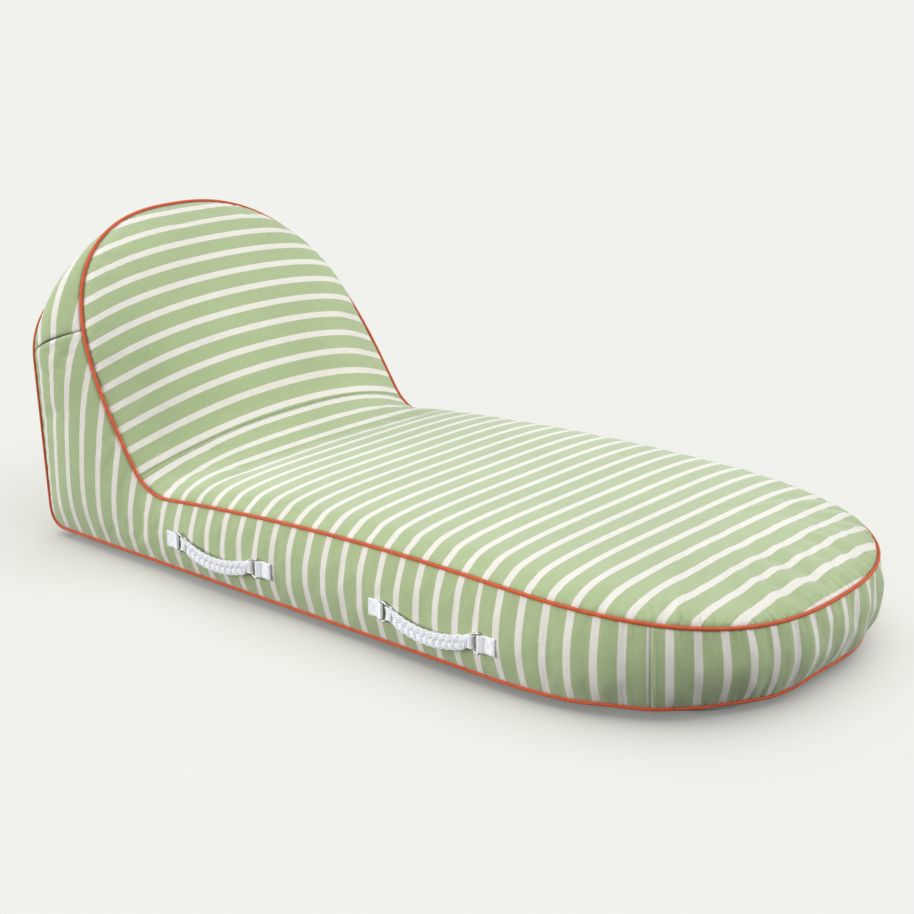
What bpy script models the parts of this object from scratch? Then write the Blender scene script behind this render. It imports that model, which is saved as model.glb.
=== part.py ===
"""An inflatable pool lounger: a fabric cover with a raised, arched headrest over air chambers.

The lounger lies along X with its foot at +X and its headrest at -X. It rests on z = 0.
The cover is sewn from eight panels. Two rounds of piping close its top and its bottom edge.
"""

import math

import bmesh
import bpy
from mathutils import Matrix, Vector

# Driving dimensions, in metres. Lengths along X count from the lower rear corner.
MID_X = 0.886  # from the lower rear corner to the middle of the length
CLOTH = 0.0015
GAP = 0.0003
PIPING_R = 0.004
SEAM_INSET = PIPING_R + 0.0022  # a panel's edge stops this far from the piping's middle
SEAM_GAP = 0.0005  # between two panels that are sewn edge to edge
CREASE_GAP = 0.0014  # the same, where the seat and the headrest's face lean together

# The lower seam: round the underside and up over the back.
LOW_FOOT_X, LOW_HALF, LOW_FOOT_DEPTH, LOW_POWER, LOW_Z = 1.800, 0.437, 0.482, 2.45, 0.022
REAR_CORNER = 0.050
BACK_X, BACK_LEAN, BACK_HEIGHT, BACK_ARCH = 0.003, math.radians(93.4), 0.600, 0.214
# The upper seam: round the seat and up over the headrest's face.
TOP_FOOT_X, TOP_HALF, TOP_FOOT_DEPTH, TOP_POWER = 1.818, 0.433, 0.516, 2.61
CREASE_X, CREASE_FILLET = 0.344, 0.074
FACE_SLOPE, FACE_LENGTH, FACE_ARCH = math.radians(124.2), 0.667, 0.518
ARCH_POWER = 2.46

# How far the air swells each panel past its seams.
SEAT_CROWN, FACE_CROWN, BACK_CROWN = 0.036, 0.095, 0.030
CREASE_RISE, CREASE_CROWN = 0.022, 0.057  # the seam across the crease, over the piping
BAND_SWELL = 0.048  # times the square root of the band's width
FOOT_SEAM_SHARE = 0.605  # of the foot's quarter turn, from its tip to the side seam
LOW_LAG = 0.11  # how far the lower seam's stations trail the upper seam's round the foot
HEAD_SEAM_TOP, HEAD_SEAM_LOW = 0.475, 0.612  # share of each seam from the crease to its top

ZIP_HALF, ZIP_LOW, ZIP_HIGH = 0.25, 0.095, 0.155
ZIP_SLOT, TAPE_WIDTH, CHAIN_WIDTH = 0.0080, 0.013, 0.0056

HANDLES = {"rear": 0.598, "front": 1.196}  # the middle of each handle along X
HANDLE_Z, TAB_HEIGHT, RING_BAR_X = 0.098, 0.036, 0.1240
TAB_LENGTH, TAB_THICK, WEBBING = 0.036, 0.0034, 0.0016
RING_WIRE, RING_DEPTH, RING_HALF, RING_POWER = 0.0020, 0.020, 0.0205, 2.4
RING_STAND = 0.0054  # from the cover to the middle of the ring's bar
RUN_CLEAR = 0.0003
GRIP_HEIGHT, GRIP_END, GRIP_SAG, GRIP_BOW = 0.032, 0.015, 0.020, 0.006
LOOP_HOLE, LOOP_HALF, LOOP_WALL = 0.0112, 0.0033, 0.0018

CHAMBER_CLEAR, CHAMBER_WALL = 0.006, 0.0010
BASE_REAR, BASE_TOP, BASE_SIDE_CLEAR = 0.022, 0.150, 0.010
HEAD_FLOOR_GAP, HEAD_HEIGHT, HEAD_SIDE_CLEAR = 0.006, 0.46, 0.035
CROWN_FILL = 0.8  # the share of the seat's crown that the base chamber fills
BAFFLE_THICK, BAFFLE_SIDE_CLEAR, BAFFLE_LOW, BAFFLE_HIGH = 0.0010, 0.19, 0.006, 0.010
BAFFLES = {"head_end": 0.50, "middle": 0.90, "foot_end": 1.24}
VALVE_HOLE_R, VALVE_BASE_R, VALVE_STEM_R, VALVE_CAP_R = 0.0150, 0.0140, 0.0090, 0.0130

TAU = 2 * math.pi


def start_scene():
    for obj in list(bpy.data.objects):
        bpy.data.objects.remove(obj, do_unlink=True)
    made = []
    for name in ("pool_lounger", "cutters"):
        collection = bpy.data.collections.new(name)
        bpy.context.scene.collection.children.link(collection)
        made.append(collection)
    made[1].hide_render = True
    return made


LOUNGER, CUTTERS = start_scene()


def finish(name, colour, roughness, metallic=0.0):
    """A Principled material."""
    material = bpy.data.materials.new(name)
    material.use_nodes = True
    shader = material.node_tree.nodes["Principled BSDF"]
    shader.inputs["Base Color"].default_value = (*colour, 1)
    shader.inputs["Roughness"].default_value = roughness
    shader.inputs["Metallic"].default_value = metallic
    return material


STRIPED = finish("striped_cover_cloth", (0.36, 0.48, 0.25), 0.85)
PLAIN = finish("plain_underside_cloth", (0.80, 0.79, 0.74), 0.85)
PIPING = finish("piping_cloth", (0.66, 0.12, 0.04), 0.75)
WHITE_WEB = finish("white_webbing", (0.86, 0.86, 0.84), 0.80)
STEEL = finish("ring_steel", (0.70, 0.69, 0.66), 0.30, 1.0)
VINYL = finish("chamber_vinyl", (0.80, 0.83, 0.84), 0.45)
VALVE_WHITE = finish("valve_plastic", (0.85, 0.86, 0.86), 0.40)
ZIP_CLOTH = finish("zip_tape_cloth", (0.72, 0.73, 0.68), 0.80)
ZIP_METAL = finish("zip_slider_metal", (0.62, 0.61, 0.58), 0.35, 1.0)


def place(name, data, material, collection=LOUNGER):
    obj = bpy.data.objects.new(name, data)
    obj.data.materials.append(material)
    collection.objects.link(obj)
    return obj


def smooth(mesh, degrees=35):
    mesh.shade_smooth()
    mesh.set_sharp_from_angle(angle=math.radians(degrees))


# Seams ------------------------------------------------------------------------------------


def top_z(x):
    """The height of the upper seam, which the air lifts most at the middle of the seat."""
    return 0.212 + 0.0224 * (x - 1) - 0.0742 * (x - 1) ** 2


def quarter(share, depth, half, power, inset=0.0):
    """A point on a superellipse's quarter: share 0 is its tip, share 1 is where its side starts."""
    angle = share * math.pi / 2
    along = (depth - inset) * math.cos(angle) ** (2 / power)
    return along, (half - inset) * math.sin(angle) ** (2 / power)


def bend(start, corner, end, share):
    """A point on the curve that rounds a corner."""
    return (1 - share) ** 2 * start + 2 * share * (1 - share) * corner + share**2 * end


def up_the_face(s, across):
    x = CREASE_X + s * math.cos(FACE_SLOPE)
    return Vector((x, across, top_z(CREASE_X) + s * math.sin(FACE_SLOPE)))


def up_the_back(s, across):
    return Vector((BACK_X + s * math.cos(BACK_LEAN), across, LOW_Z + s * math.sin(BACK_LEAN)))


def evenly(points, count):
    """Count points at equal distances along a line of many points."""
    reach = [0.0]
    for a, b in zip(points, points[1:]):
        reach.append(reach[-1] + (b - a).length)
    spaced, at = [], 0
    for i in range(count):
        want = reach[-1] * i / (count - 1)
        while at < len(points) - 2 and reach[at + 1] < want:
            at += 1
        share = (want - reach[at]) / max(reach[at + 1] - reach[at], 1e-9)
        spaced.append(points[at].lerp(points[at + 1], min(max(share, 0), 1)))
    return spaced


def top_head_line(count=80):
    """The upper seam on the right side, from the seat's end of the crease to the arch's top."""
    x = CREASE_X + CREASE_FILLET
    start, corner = Vector((x, -TOP_HALF, top_z(x))), Vector((CREASE_X, -TOP_HALF, top_z(CREASE_X)))
    end = up_the_face(CREASE_FILLET, -TOP_HALF)
    turns = max(4, count // 4)
    line = [bend(start, corner, end, i / turns) for i in range(turns)]
    for i in range(count):
        along, across = quarter(1 - i / (count - 1), FACE_ARCH, TOP_HALF, ARCH_POWER)
        if i == 0:
            line.append(end)
        line.append(up_the_face(FACE_LENGTH - FACE_ARCH + along, -across))
    return line


def low_head_line(count=80):
    """The lower seam on the right side, from below the crease round the corner to the back's top."""
    start = Vector((REAR_CORNER, -LOW_HALF, LOW_Z))
    end = up_the_back(REAR_CORNER, -LOW_HALF)
    line = [Vector((CREASE_X + CREASE_FILLET, -LOW_HALF, LOW_Z))]
    turns = max(4, count // 3)
    corner = Vector((BACK_X, -LOW_HALF, LOW_Z))
    line += [bend(start, corner, end, i / turns) for i in range(turns + 1)]
    for i in range(count):
        along, across = quarter(1 - i / (count - 1), BACK_ARCH, LOW_HALF, ARCH_POWER)
        line.append(up_the_back(BACK_HEIGHT - BACK_ARCH + along, -across))
    return line


def foot_pair(share):
    """The upper and the lower seam's points at a share of the foot's quarter turn."""
    along, across = quarter(share, TOP_FOOT_DEPTH, TOP_HALF, TOP_POWER)
    x = TOP_FOOT_X - TOP_FOOT_DEPTH + along
    low_share = share - LOW_LAG * share * (1 - share)
    low_along, low_across = quarter(low_share, LOW_FOOT_DEPTH, LOW_HALF, LOW_POWER)
    low = Vector((LOW_FOOT_X - LOW_FOOT_DEPTH + low_along, -low_across, LOW_Z))
    return Vector((x, -across, top_z(x))), low


def side_pairs(count):
    """The straight side's seam points, from the foot to the crease."""
    first, last = foot_pair(1), CREASE_X + CREASE_FILLET
    for i in range(count + 1):
        share = i / count
        x = first[0].x + (last - first[0].x) * share
        low_x = first[1].x + (last - first[1].x) * share
        yield Vector((x, -TOP_HALF, top_z(x))), Vector((low_x, -LOW_HALF, LOW_Z))


def cut_line(line, share, side, count):
    """The part of a line before (side 0) or after (side 1) a share of its length."""
    fine = evenly(line, 401)
    at = round(share * 400)
    return evenly(fine[: at + 1] if side == 0 else fine[at:], count)


# Panels -----------------------------------------------------------------------------------


def shell(name, rows, material, outward):
    """A panel of cloth from rows of points on its outer face."""
    grid = bmesh.new()
    made = [[grid.verts.new(point - Vector((MID_X, 0, 0))) for point in row] for row in rows]
    for low, high in zip(made, made[1:]):
        for a, b, c, d in zip(low, low[1:], high[1:], high):
            grid.faces.new((a, b, c, d))
    bmesh.ops.remove_doubles(grid, verts=grid.verts, dist=1e-5)
    middle = max(grid.faces, key=lambda face: face.calc_area())
    if middle.normal.dot(outward(middle.calc_center_median())) < 0:
        bmesh.ops.reverse_faces(grid, faces=grid.faces)
    mesh = bpy.data.meshes.new(name)
    grid.to_mesh(mesh)
    grid.free()
    smooth(mesh, 60)
    obj = place(name, mesh, material)
    wall = obj.modifiers.new("cloth", "SOLIDIFY")
    wall.thickness, wall.offset = CLOTH, -1
    return obj


def across_shares(count, edge):
    """Shares from -1 to 1, closer together near the edges."""
    return [math.copysign(abs(i / count) ** edge, i) for i in range(-count, count + 1)]


def crease_point(v):
    """A point on the seam between the seat and the headrest's face, v from -1 to 1 across."""
    z = top_z(CREASE_X) + CREASE_RISE + CREASE_CROWN * (1 - abs(v) ** 2.4)
    return Vector((CREASE_X, (TOP_HALF - SEAM_INSET) * v, z))


def seat_panel():
    rows = []
    columns = across_shares(7, 0.72)
    straight_end = TOP_FOOT_X - TOP_FOOT_DEPTH
    stations = [(CREASE_X + share * CREASE_FILLET, TOP_HALF - SEAM_INSET) for share in (0, 0.4, 1)]
    stations += [(x, TOP_HALF - SEAM_INSET) for x in (0.62, 0.86, 1.10)]
    for i in range(13):
        along, across = quarter(1 - i / 12, TOP_FOOT_DEPTH, TOP_HALF, TOP_POWER, SEAM_INSET)
        stations.append((straight_end + along, across))
    for x, half in stations:
        near_tip = min((TOP_FOOT_X - x) / TOP_FOOT_DEPTH, 1)
        rise = SEAT_CROWN * (1 - (1 - max(near_tip, 0)) ** 3) ** 0.6
        blend = max(0, 1 - (x - CREASE_X) / CREASE_FILLET) ** 2
        row = []
        for v in columns:
            point = Vector((x, half * v, top_z(x) + rise * (1 - abs(v) ** 3) ** 0.6))
            point.z += (crease_point(v).z - point.z) * blend
            point.x += CREASE_GAP / 2
            row.append(point)
        rows.append(row)
    return shell("seat_panel", rows, STRIPED, lambda at: Vector((0, 0, 1)))


def head_face_panel():
    rows = []
    columns = across_shares(7, 0.72)
    normal = Vector((math.sin(FACE_SLOPE), 0, -math.cos(FACE_SLOPE)))
    straight = FACE_LENGTH - FACE_ARCH
    stations = [(s, TOP_HALF - SEAM_INSET) for s in (0.0, 0.035, 0.07, 0.11)]
    for i in range(12):
        along, across = quarter(1 - i / 11, FACE_ARCH, TOP_HALF, ARCH_POWER, SEAM_INSET)
        stations.append((straight + along, across))
    for s, half in stations:
        share = s / FACE_LENGTH
        swell = FACE_CROWN * (1 - share**2.6) ** 0.7
        blend = max(0, 1 - s / 0.12) ** 2
        row = []
        for v in columns:
            point = up_the_face(s, half * v) + normal * swell * (1 - abs(v) ** 2.6)
            point = point.lerp(crease_point(v), blend)
            point.x -= CREASE_GAP / 2
            row.append(point)
        rows.append(row)
    return shell("head_face_panel", rows, STRIPED, lambda at: normal)


def band_point(top, low, normal, share, inset):
    """A point on the band between its two seams, swollen outwards."""
    chord = low - top
    width = chord.length
    share = inset / width + share * (1 - 2 * inset / width)
    swell = BAND_SWELL * math.sqrt(width) * 4 * share * (1 - share)
    return top + chord * share + normal * swell


def band(name, pairs, count, material=STRIPED):
    """A panel of the boxing band from pairs of upper and lower seam points."""
    rows = []
    for i, (top, low) in enumerate(pairs):
        before, after = pairs[max(i - 1, 0)], pairs[min(i + 1, len(pairs) - 1)]
        run = (after[0] + after[1]) - (before[0] + before[1])
        normal = run.cross(low - top).normalized()
        if normal.dot((top + low) / 2 - Vector((0.55, 0, 0.12))) < 0:
            normal = -normal
        rows.append([band_point(top, low, normal, j / count, SEAM_INSET) for j in range(count + 1)])
    return shell(name, rows, material, lambda at: at - Vector((0.55 - MID_X, 0, 0.12)))


def mirrored(pairs):
    return [tuple(Vector((p.x, -p.y, p.z)) for p in pair) for pair in pairs]


def foot_band():
    steps = 10
    half = [foot_pair(FOOT_SEAM_SHARE * i / steps) for i in range(steps + 1)]
    return band("foot_band", half[:0:-1] + mirrored(half), 4)


def side_panels():
    """Each side is one L-shaped panel, from the foot seam back and up to the headrest's cross seam."""
    start = FOOT_SEAM_SHARE + 0.0012
    pairs = [foot_pair(start + (1 - start) * i / 6) for i in range(6)] + list(side_pairs(9))
    tops = cut_line(top_head_line(), HEAD_SEAM_TOP, 0, 12)
    lows = cut_line(low_head_line(), HEAD_SEAM_LOW, 0, 12)
    pairs += list(zip(tops, lows))[1:]
    band("side_panel_right", pairs, 5)
    band("side_panel_left", mirrored(pairs), 5)


def head_band():
    step = 0.0015
    tops = cut_line(top_head_line(), HEAD_SEAM_TOP + step, 1, 9)
    lows = cut_line(low_head_line(), HEAD_SEAM_LOW + step, 1, 9)
    right = list(zip(tops, lows))
    return band("head_band", right + mirrored(right)[-2::-1], 4)


def back_profile(s):
    """A point on the back's middle line at s along it, swollen to the rear."""
    swell = BACK_CROWN * math.sin(math.pi * min(max(s / BACK_HEIGHT, 0), 1)) ** 0.8
    return up_the_back(s, 0) - Vector((swell, 0, 0))


def back_panel():
    columns = [-1, -0.96, -0.88, -0.76, -0.62, 0, 0.62, 0.76, 0.88, 0.96, 1]
    rows = []
    centre = Vector((REAR_CORNER + 0.010, 0, REAR_CORNER + 0.010))
    radius = REAR_CORNER + 0.010
    start = Vector((REAR_CORNER, 0, LOW_Z))
    end = up_the_back(REAR_CORNER, 0)
    for i in range(5):
        angle = i / 4 * math.pi / 2
        middle = centre - Vector((radius * math.sin(angle), 0, radius * math.cos(angle)))
        edge = bend(start, Vector((BACK_X, 0, LOW_Z)), end, i / 4)
        rows.append((middle, edge, LOW_HALF - SEAM_INSET))
    for s in (ZIP_LOW - LOW_Z, ZIP_HIGH - LOW_Z, 0.21, 0.29):
        rows.append((back_profile(s), up_the_back(s, 0), LOW_HALF - SEAM_INSET))
    for i in range(11):
        along, across = quarter(1 - i / 10, BACK_ARCH, LOW_HALF, ARCH_POWER, SEAM_INSET)
        s = BACK_HEIGHT - BACK_ARCH + along
        rows.append((back_profile(s), up_the_back(s, 0), across))
    grid = []
    for middle, edge, half in rows:
        row = []
        for v in columns:
            share = max(0, (abs(v) - 0.62) / 0.38) ** 2
            point = middle.lerp(edge, share)
            row.append(Vector((point.x, half * v, point.z)))
        grid.append(row)
    return shell("back_panel", grid, STRIPED, lambda at: Vector((-1, 0, 0)))


def bottom_panel():
    columns = [-1, -0.97, -0.90, -0.80, 0, 0.80, 0.90, 0.97, 1]
    start = REAR_CORNER + 0.010 + SEAM_GAP
    stations = [(x, LOW_HALF - SEAM_INSET) for x in (start, 0.30, 0.60, 0.90, 1.15)]
    straight_end = LOW_FOOT_X - LOW_FOOT_DEPTH
    for i in range(13):
        along, across = quarter(1 - i / 12, LOW_FOOT_DEPTH, LOW_HALF, LOW_POWER, SEAM_INSET)
        stations.append((straight_end + along, across))
    rows = []
    for x, half in stations:
        tip = max(0, 1 - (LOW_FOOT_X - SEAM_INSET - x) / 0.10)
        rows.append(
            [
                Vector((x, half * v, LOW_Z * max(max(0, (abs(v) - 0.8) / 0.2) ** 2, tip**2)))
                for v in columns
            ]
        )
    return shell("bottom_panel", rows, PLAIN, lambda at: Vector((0, 0, -1)))


# Piping -----------------------------------------------------------------------------------


def tube(name, points, radius, material, cyclic=False, resolution=2):
    curve = bpy.data.curves.new(name, "CURVE")
    curve.dimensions = "3D"
    curve.bevel_depth, curve.bevel_resolution, curve.use_fill_caps = radius, resolution, True
    line = curve.splines.new("POLY")
    line.points.add(len(points) - 1)
    for slot, point in zip(line.points, points):
        slot.co = (*point, 1)
    line.use_cyclic_u = cyclic
    return place(name, curve, material)


def whole_loop(right_half):
    """A closed round from its right half, which runs from the foot's tip to the arch's top."""
    left = [Vector((p.x, -p.y, p.z)) for p in right_half[-2:0:-1]]
    return [p - Vector((MID_X, 0, 0)) for p in right_half + left]


def piping():
    turns = 18
    pairs = [foot_pair(i / turns) for i in range(turns)] + list(side_pairs(6))
    top = [pair[0] for pair in pairs] + top_head_line(20)[1:]
    low = [pair[1] for pair in pairs] + low_head_line(20)[1:]
    tube("top_piping", whole_loop(top), PIPING_R, PIPING, cyclic=True)
    tube("bottom_piping", whole_loop(low), PIPING_R, PIPING, cyclic=True)


# Small closed shapes ------------------------------------------------------------------------


def slab(name, outline, height, middle_z, material, holes=(), collection=LOUNGER):
    """A flat outline in the XY plane with its holes, as thick as height along Z."""
    curve = bpy.data.curves.new(name, "CURVE")
    curve.dimensions, curve.fill_mode, curve.extrude = "2D", "BOTH", height / 2
    for ring in (outline, *holes):
        line = curve.splines.new("POLY")
        line.points.add(len(ring) - 1)
        for slot, (x, y) in zip(line.points, ring):
            slot.co = (x, y, 0, 1)
        line.use_cyclic_u = True
    obj = place(name, curve, material, collection)
    obj.location = (0, 0, middle_z)
    return obj


def as_mesh(obj):
    """The object again as a mesh with its caps joined on."""
    bpy.context.view_layer.update()
    graph = bpy.context.evaluated_depsgraph_get()
    mesh = bpy.data.meshes.new_from_object(obj.evaluated_get(graph))
    mesh.transform(obj.matrix_world)
    name, material = obj.name, obj.data.materials[0]
    bpy.data.objects.remove(obj, do_unlink=True)
    joined = bmesh.new()
    joined.from_mesh(mesh)
    bmesh.ops.remove_doubles(joined, verts=joined.verts, dist=1e-6)
    joined.to_mesh(mesh)
    joined.free()
    mesh.materials.clear()
    return place(name, mesh, material)


def box(name, size, at, frame, material, bevel=0.0, collection=LOUNGER):
    """A box of this size at a place in a frame."""
    bpy.ops.mesh.primitive_cube_add(size=1)
    obj = bpy.context.object
    obj.name, obj.data.name = name, name
    obj.data.transform(Matrix.Diagonal((*size, 1)))
    obj.matrix_world = frame @ Matrix.Translation(at)
    obj.data.materials.append(material)
    for holder in list(obj.users_collection):
        holder.objects.unlink(obj)
    collection.objects.link(obj)
    if bevel:
        edge = obj.modifiers.new("edge", "BEVEL")
        edge.width, edge.segments = bevel, 2
    return obj


def set_origin(obj, at):
    """Moves a piece's origin to a point on its joint's axis and leaves its shape where it is."""
    obj.data.transform(Matrix.Translation(-at))
    obj.location = at


def cut(obj, cutter):
    cutter.hide_render, cutter.display_type = True, "WIRE"
    hole = obj.modifiers.new(cutter.name, "BOOLEAN")
    hole.operation, hole.object = "DIFFERENCE", cutter


def arc(middle, radius, first, last, count):
    turns = [math.radians(first + (last - first) * i / count) for i in range(count + 1)]
    return [(middle[0] + radius * math.cos(a), middle[1] + radius * math.sin(a)) for a in turns]


# Zip --------------------------------------------------------------------------------------


def zip_frame():
    """X runs along the zip, Y up the back, and Z out of the back."""
    low, high = back_profile(ZIP_LOW - LOW_Z), back_profile(ZIP_HIGH - LOW_Z)
    up = (high - low).normalized()
    out = Vector((0, -1, 0)).cross(up)
    middle = (low + high) / 2 - Vector((MID_X, 0, 0))
    turn = Matrix((Vector((0, -1, 0)), up, out)).transposed()
    return Matrix.Translation(middle) @ turn.to_4x4()


def zip_closure(back):
    frame = zip_frame()
    slot = box("zip_slot", (2 * ZIP_HALF + 0.006, ZIP_SLOT, 0.012), (0, 0, 0), frame, ZIP_CLOTH, 0, CUTTERS)
    cut(back, slot)
    behind = -CLOTH - GAP - 0.0004
    offset = CHAIN_WIDTH / 2 + GAP + TAPE_WIDTH / 2
    for name, side in (("zip_tape_upper", 1), ("zip_tape_lower", -1)):
        box(name, (2 * ZIP_HALF + 0.010, TAPE_WIDTH, 0.0008), (0, side * offset, behind), frame, ZIP_CLOTH)
    box("zip_chain", (2 * ZIP_HALF, CHAIN_WIDTH, 0.0020), (0, 0, -0.0016), frame, ZIP_CLOTH, 0.0005)
    for name, side in (("zip_stop_right", 1), ("zip_stop_left", -1)):
        at = (side * (ZIP_HALF + 0.0013), 0, -0.0012)
        box(name, (0.0020, 0.0054, 0.0028), at, frame, ZIP_METAL, 0.0004)
    start = ZIP_HALF - 0.010
    body = box("zip_slider", (0.011, 0.0085, 0.0018), (start, 0, 0.0012), frame, ZIP_METAL, 0.0004)
    for name, x in (("bail_foot_in", -0.0030), ("bail_foot_out", 0.0030)):
        foot = box(name, (0.0016, 0.0022, 0.0024), (start + x, 0, 0.0030), frame, ZIP_METAL, 0, CUTTERS)
        join(body, foot)
    bar = box("bail_bar", (0.0076, 0.0022, 0.0012), (start, 0, 0.0044), frame, ZIP_METAL, 0, CUTTERS)
    join(body, bar)
    half = [(0.0005, 0.0030), (-0.0056, 0.0030), (-0.0070, 0.0022), (-0.0240, 0.0026)]
    ring = half + [(-0.0265, 0)] + [(x, -y) for x, y in half[::-1]]
    eye = [(-0.0005, 0.0016), (-0.0050, 0.0016), (-0.0050, -0.0016), (-0.0005, -0.0016)]
    pull = as_mesh(slab("zip_pull", ring, 0.0010, 0, ZIP_METAL, [eye]))
    pull.matrix_world = frame @ Matrix.Translation((start, 0, 0.0029))


def join(obj, other):
    other.hide_render, other.display_type = True, "WIRE"
    union = obj.modifiers.new(other.name, "BOOLEAN")
    union.operation, union.object = "UNION", other


# Handles ----------------------------------------------------------------------------------


def wall_y():
    """How far out the cover's side stands at the handles."""
    x = sum(HANDLES.values()) / 2
    share = (top_z(x) - HANDLE_Z) / (top_z(x) - LOW_Z)
    swell = BAND_SWELL * math.sqrt(top_z(x) - LOW_Z) * 4 * share * (1 - share)
    return TOP_HALF + (LOW_HALF - TOP_HALF) * share + swell + 0.0012


def laid_out(outline, middle_x, side, end=1):
    """An outline of (along, out of the cover) turned to one side and end of the lounger."""
    points = [(middle_x - MID_X + end * a, side * (wall_y() + b)) for a, b in outline]
    return points if side * end > 0 else points[::-1]


def tab_outline():
    """Webbing folded round the ring's bar, seen from above: its outline and the bar's hole."""
    outer = RING_WIRE + RUN_CLEAR + WEBBING
    fold = arc((RING_BAR_X, RING_STAND), outer, -100, 100, 12)
    root = RING_BAR_X + TAB_LENGTH
    flat = RING_BAR_X + 0.010
    turned = [(2 * RING_BAR_X - x, y) for x, y in fold]
    outline = [(root, 0), (root, TAB_THICK), (flat, TAB_THICK)] + turned[::-1] + [(flat, 0)]
    hole = arc((RING_BAR_X, RING_STAND), RING_WIRE + RUN_CLEAR, 0, 345, 23)
    return outline[::-1], hole


def ring_points():
    """The D ring's middle line as (along towards the grip, up)."""
    turns = 13
    curve = []
    for i in range(turns + 1):
        angle = math.pi * (i / turns - 0.5)
        along = RING_DEPTH * abs(math.cos(angle)) ** (2 / RING_POWER)
        up = RING_HALF * math.copysign(abs(math.sin(angle)) ** (2 / RING_POWER), angle)
        curve.append((along, up))
    bar = [(0, RING_HALF * share) for share in (0.6, 0.2, -0.2, -0.6)]
    return curve + bar


def grip_outline():
    """The braided grip from above: its outline and the two holes that hold the rings."""
    reach = RING_BAR_X - RING_DEPTH  # the ring's far side, from the grip's middle
    hole_out = reach + LOOP_HOLE - RING_WIRE - RUN_CLEAR
    hole_in = hole_out - LOOP_HOLE
    out = RING_STAND
    half = LOOP_HALF + LOOP_WALL
    count = 14
    outer, inner = [], []
    for i in range(count + 1):
        x = -reach + 0.012 + (2 * reach - 0.024) * i / count
        bow = GRIP_BOW * (1 - (x / reach) ** 2)
        outer.append((x, out + bow + half))
        inner.append((x, out + bow - half + (0.0006 if 0 < i < count else 0)))
    tip = arc((hole_out - LOOP_HALF, out), half, 90, -90, 8)
    tail = [(-x, y) for x, y in tip]
    outline = outer + tip + inner[::-1] + tail[::-1]
    hole = arc((hole_out - LOOP_HALF, out), LOOP_HALF, -90, 90, 6)
    hole += arc((hole_in + LOOP_HALF * 0.8, out), LOOP_HALF, 90, 270, 6)
    return outline[::-1], [hole, [(-x, y) for x, y in hole[::-1]]]


def shape_grip(grip, middle_x):
    """The strap is narrow at its rings, wide along its middle, and hangs in a curve."""
    reach = RING_BAR_X - RING_DEPTH
    for vertex in grip.data.vertices:
        x = (vertex.co.x - (middle_x - MID_X)) / reach
        inside = max(0, 1 - abs(x) ** 2)
        wide = min(1, max(0, (0.90 - abs(x)) / 0.22))
        height = GRIP_END + (GRIP_HEIGHT - GRIP_END) * wide
        offset = (vertex.co.z - HANDLE_Z) / GRIP_END * height
        vertex.co.z = HANDLE_Z + offset - GRIP_SAG * inside


def handle(side_name, side, place_name, middle_x):
    label = f"{side_name}_{place_name}"
    bar_y = side * (wall_y() + RING_STAND)
    for end_name, end in (("head_end", -1), ("foot_end", 1)):
        outline, hole = tab_outline()
        name = f"handle_tab_{label}_{end_name}"
        rings = [laid_out(ring, middle_x, side, end) for ring in (outline, hole)]
        slab(name, rings[0], TAB_HEIGHT, HANDLE_Z, WHITE_WEB, rings[1:])
        bar_x = middle_x - MID_X + end * RING_BAR_X
        points = [Vector((bar_x - end * a, bar_y, HANDLE_Z + up)) for a, up in ring_points()]
        ring = tube(f"d_ring_{label}_{end_name}", points, RING_WIRE, STEEL, cyclic=True)
        set_origin(ring, Vector((bar_x, bar_y, HANDLE_Z)))
    outline, holes = grip_outline()
    rings = [laid_out(ring, middle_x, side) for ring in (outline, *holes)]
    name = f"braided_grip_{label}"
    grip = as_mesh(slab(name, rings[0], GRIP_END, HANDLE_Z, WHITE_WEB, rings[1:]))
    shape_grip(grip, middle_x)
    set_origin(grip, Vector((middle_x - MID_X, bar_y, HANDLE_Z)))


# Air chambers -----------------------------------------------------------------------------


def chamber(name, rings, valve_at, valve_out):
    """A vinyl bladder lofted through closed rings of points, with a hole for its valve."""
    loft = bmesh.new()
    made = [[loft.verts.new(p - Vector((MID_X, 0, 0))) for p in ring] for ring in rings]
    for low, high in zip(made, made[1:]):
        for i in range(len(low)):
            after = (i + 1) % len(low)
            loft.faces.new((low[i], low[after], high[after], high[i]))
    loft.faces.new(made[0])
    loft.faces.new(made[-1])
    bmesh.ops.recalc_face_normals(loft, faces=loft.faces)
    mesh = bpy.data.meshes.new(name)
    loft.to_mesh(mesh)
    loft.free()
    smooth(mesh, 50)
    obj = place(name, mesh, VINYL)
    wall = obj.modifiers.new("vinyl", "SOLIDIFY")
    wall.thickness, wall.offset = CHAMBER_WALL, -1
    depth = 0.012
    bpy.ops.mesh.primitive_cylinder_add(vertices=24, radius=VALVE_HOLE_R, depth=depth)
    cutter = bpy.context.object
    cutter.name = name + "_valve_hole"
    turn = Vector(valve_out).to_track_quat("Z", "X").to_matrix().to_4x4()
    cutter.matrix_world = Matrix.Translation(Vector(valve_at) - Vector((MID_X, 0, 0))) @ turn
    for holder in list(cutter.users_collection):
        holder.objects.unlink(cutter)
    CUTTERS.objects.link(cutter)
    cut(obj, cutter)
    return obj


def rounded_ring(x, half, low, high, power=4, count=20):
    """A cross section of a chamber: a flat box with soft corners."""
    ring = []
    for i in range(count):
        angle = TAU * (i + 0.5) / count
        y = half * math.copysign(abs(math.cos(angle)) ** (2 / power), math.cos(angle))
        z = math.copysign(abs(math.sin(angle)) ** (2 / power), math.sin(angle))
        ring.append(Vector((x, y, (low + high) / 2 + z * (high - low) / 2)))
    return ring


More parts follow.
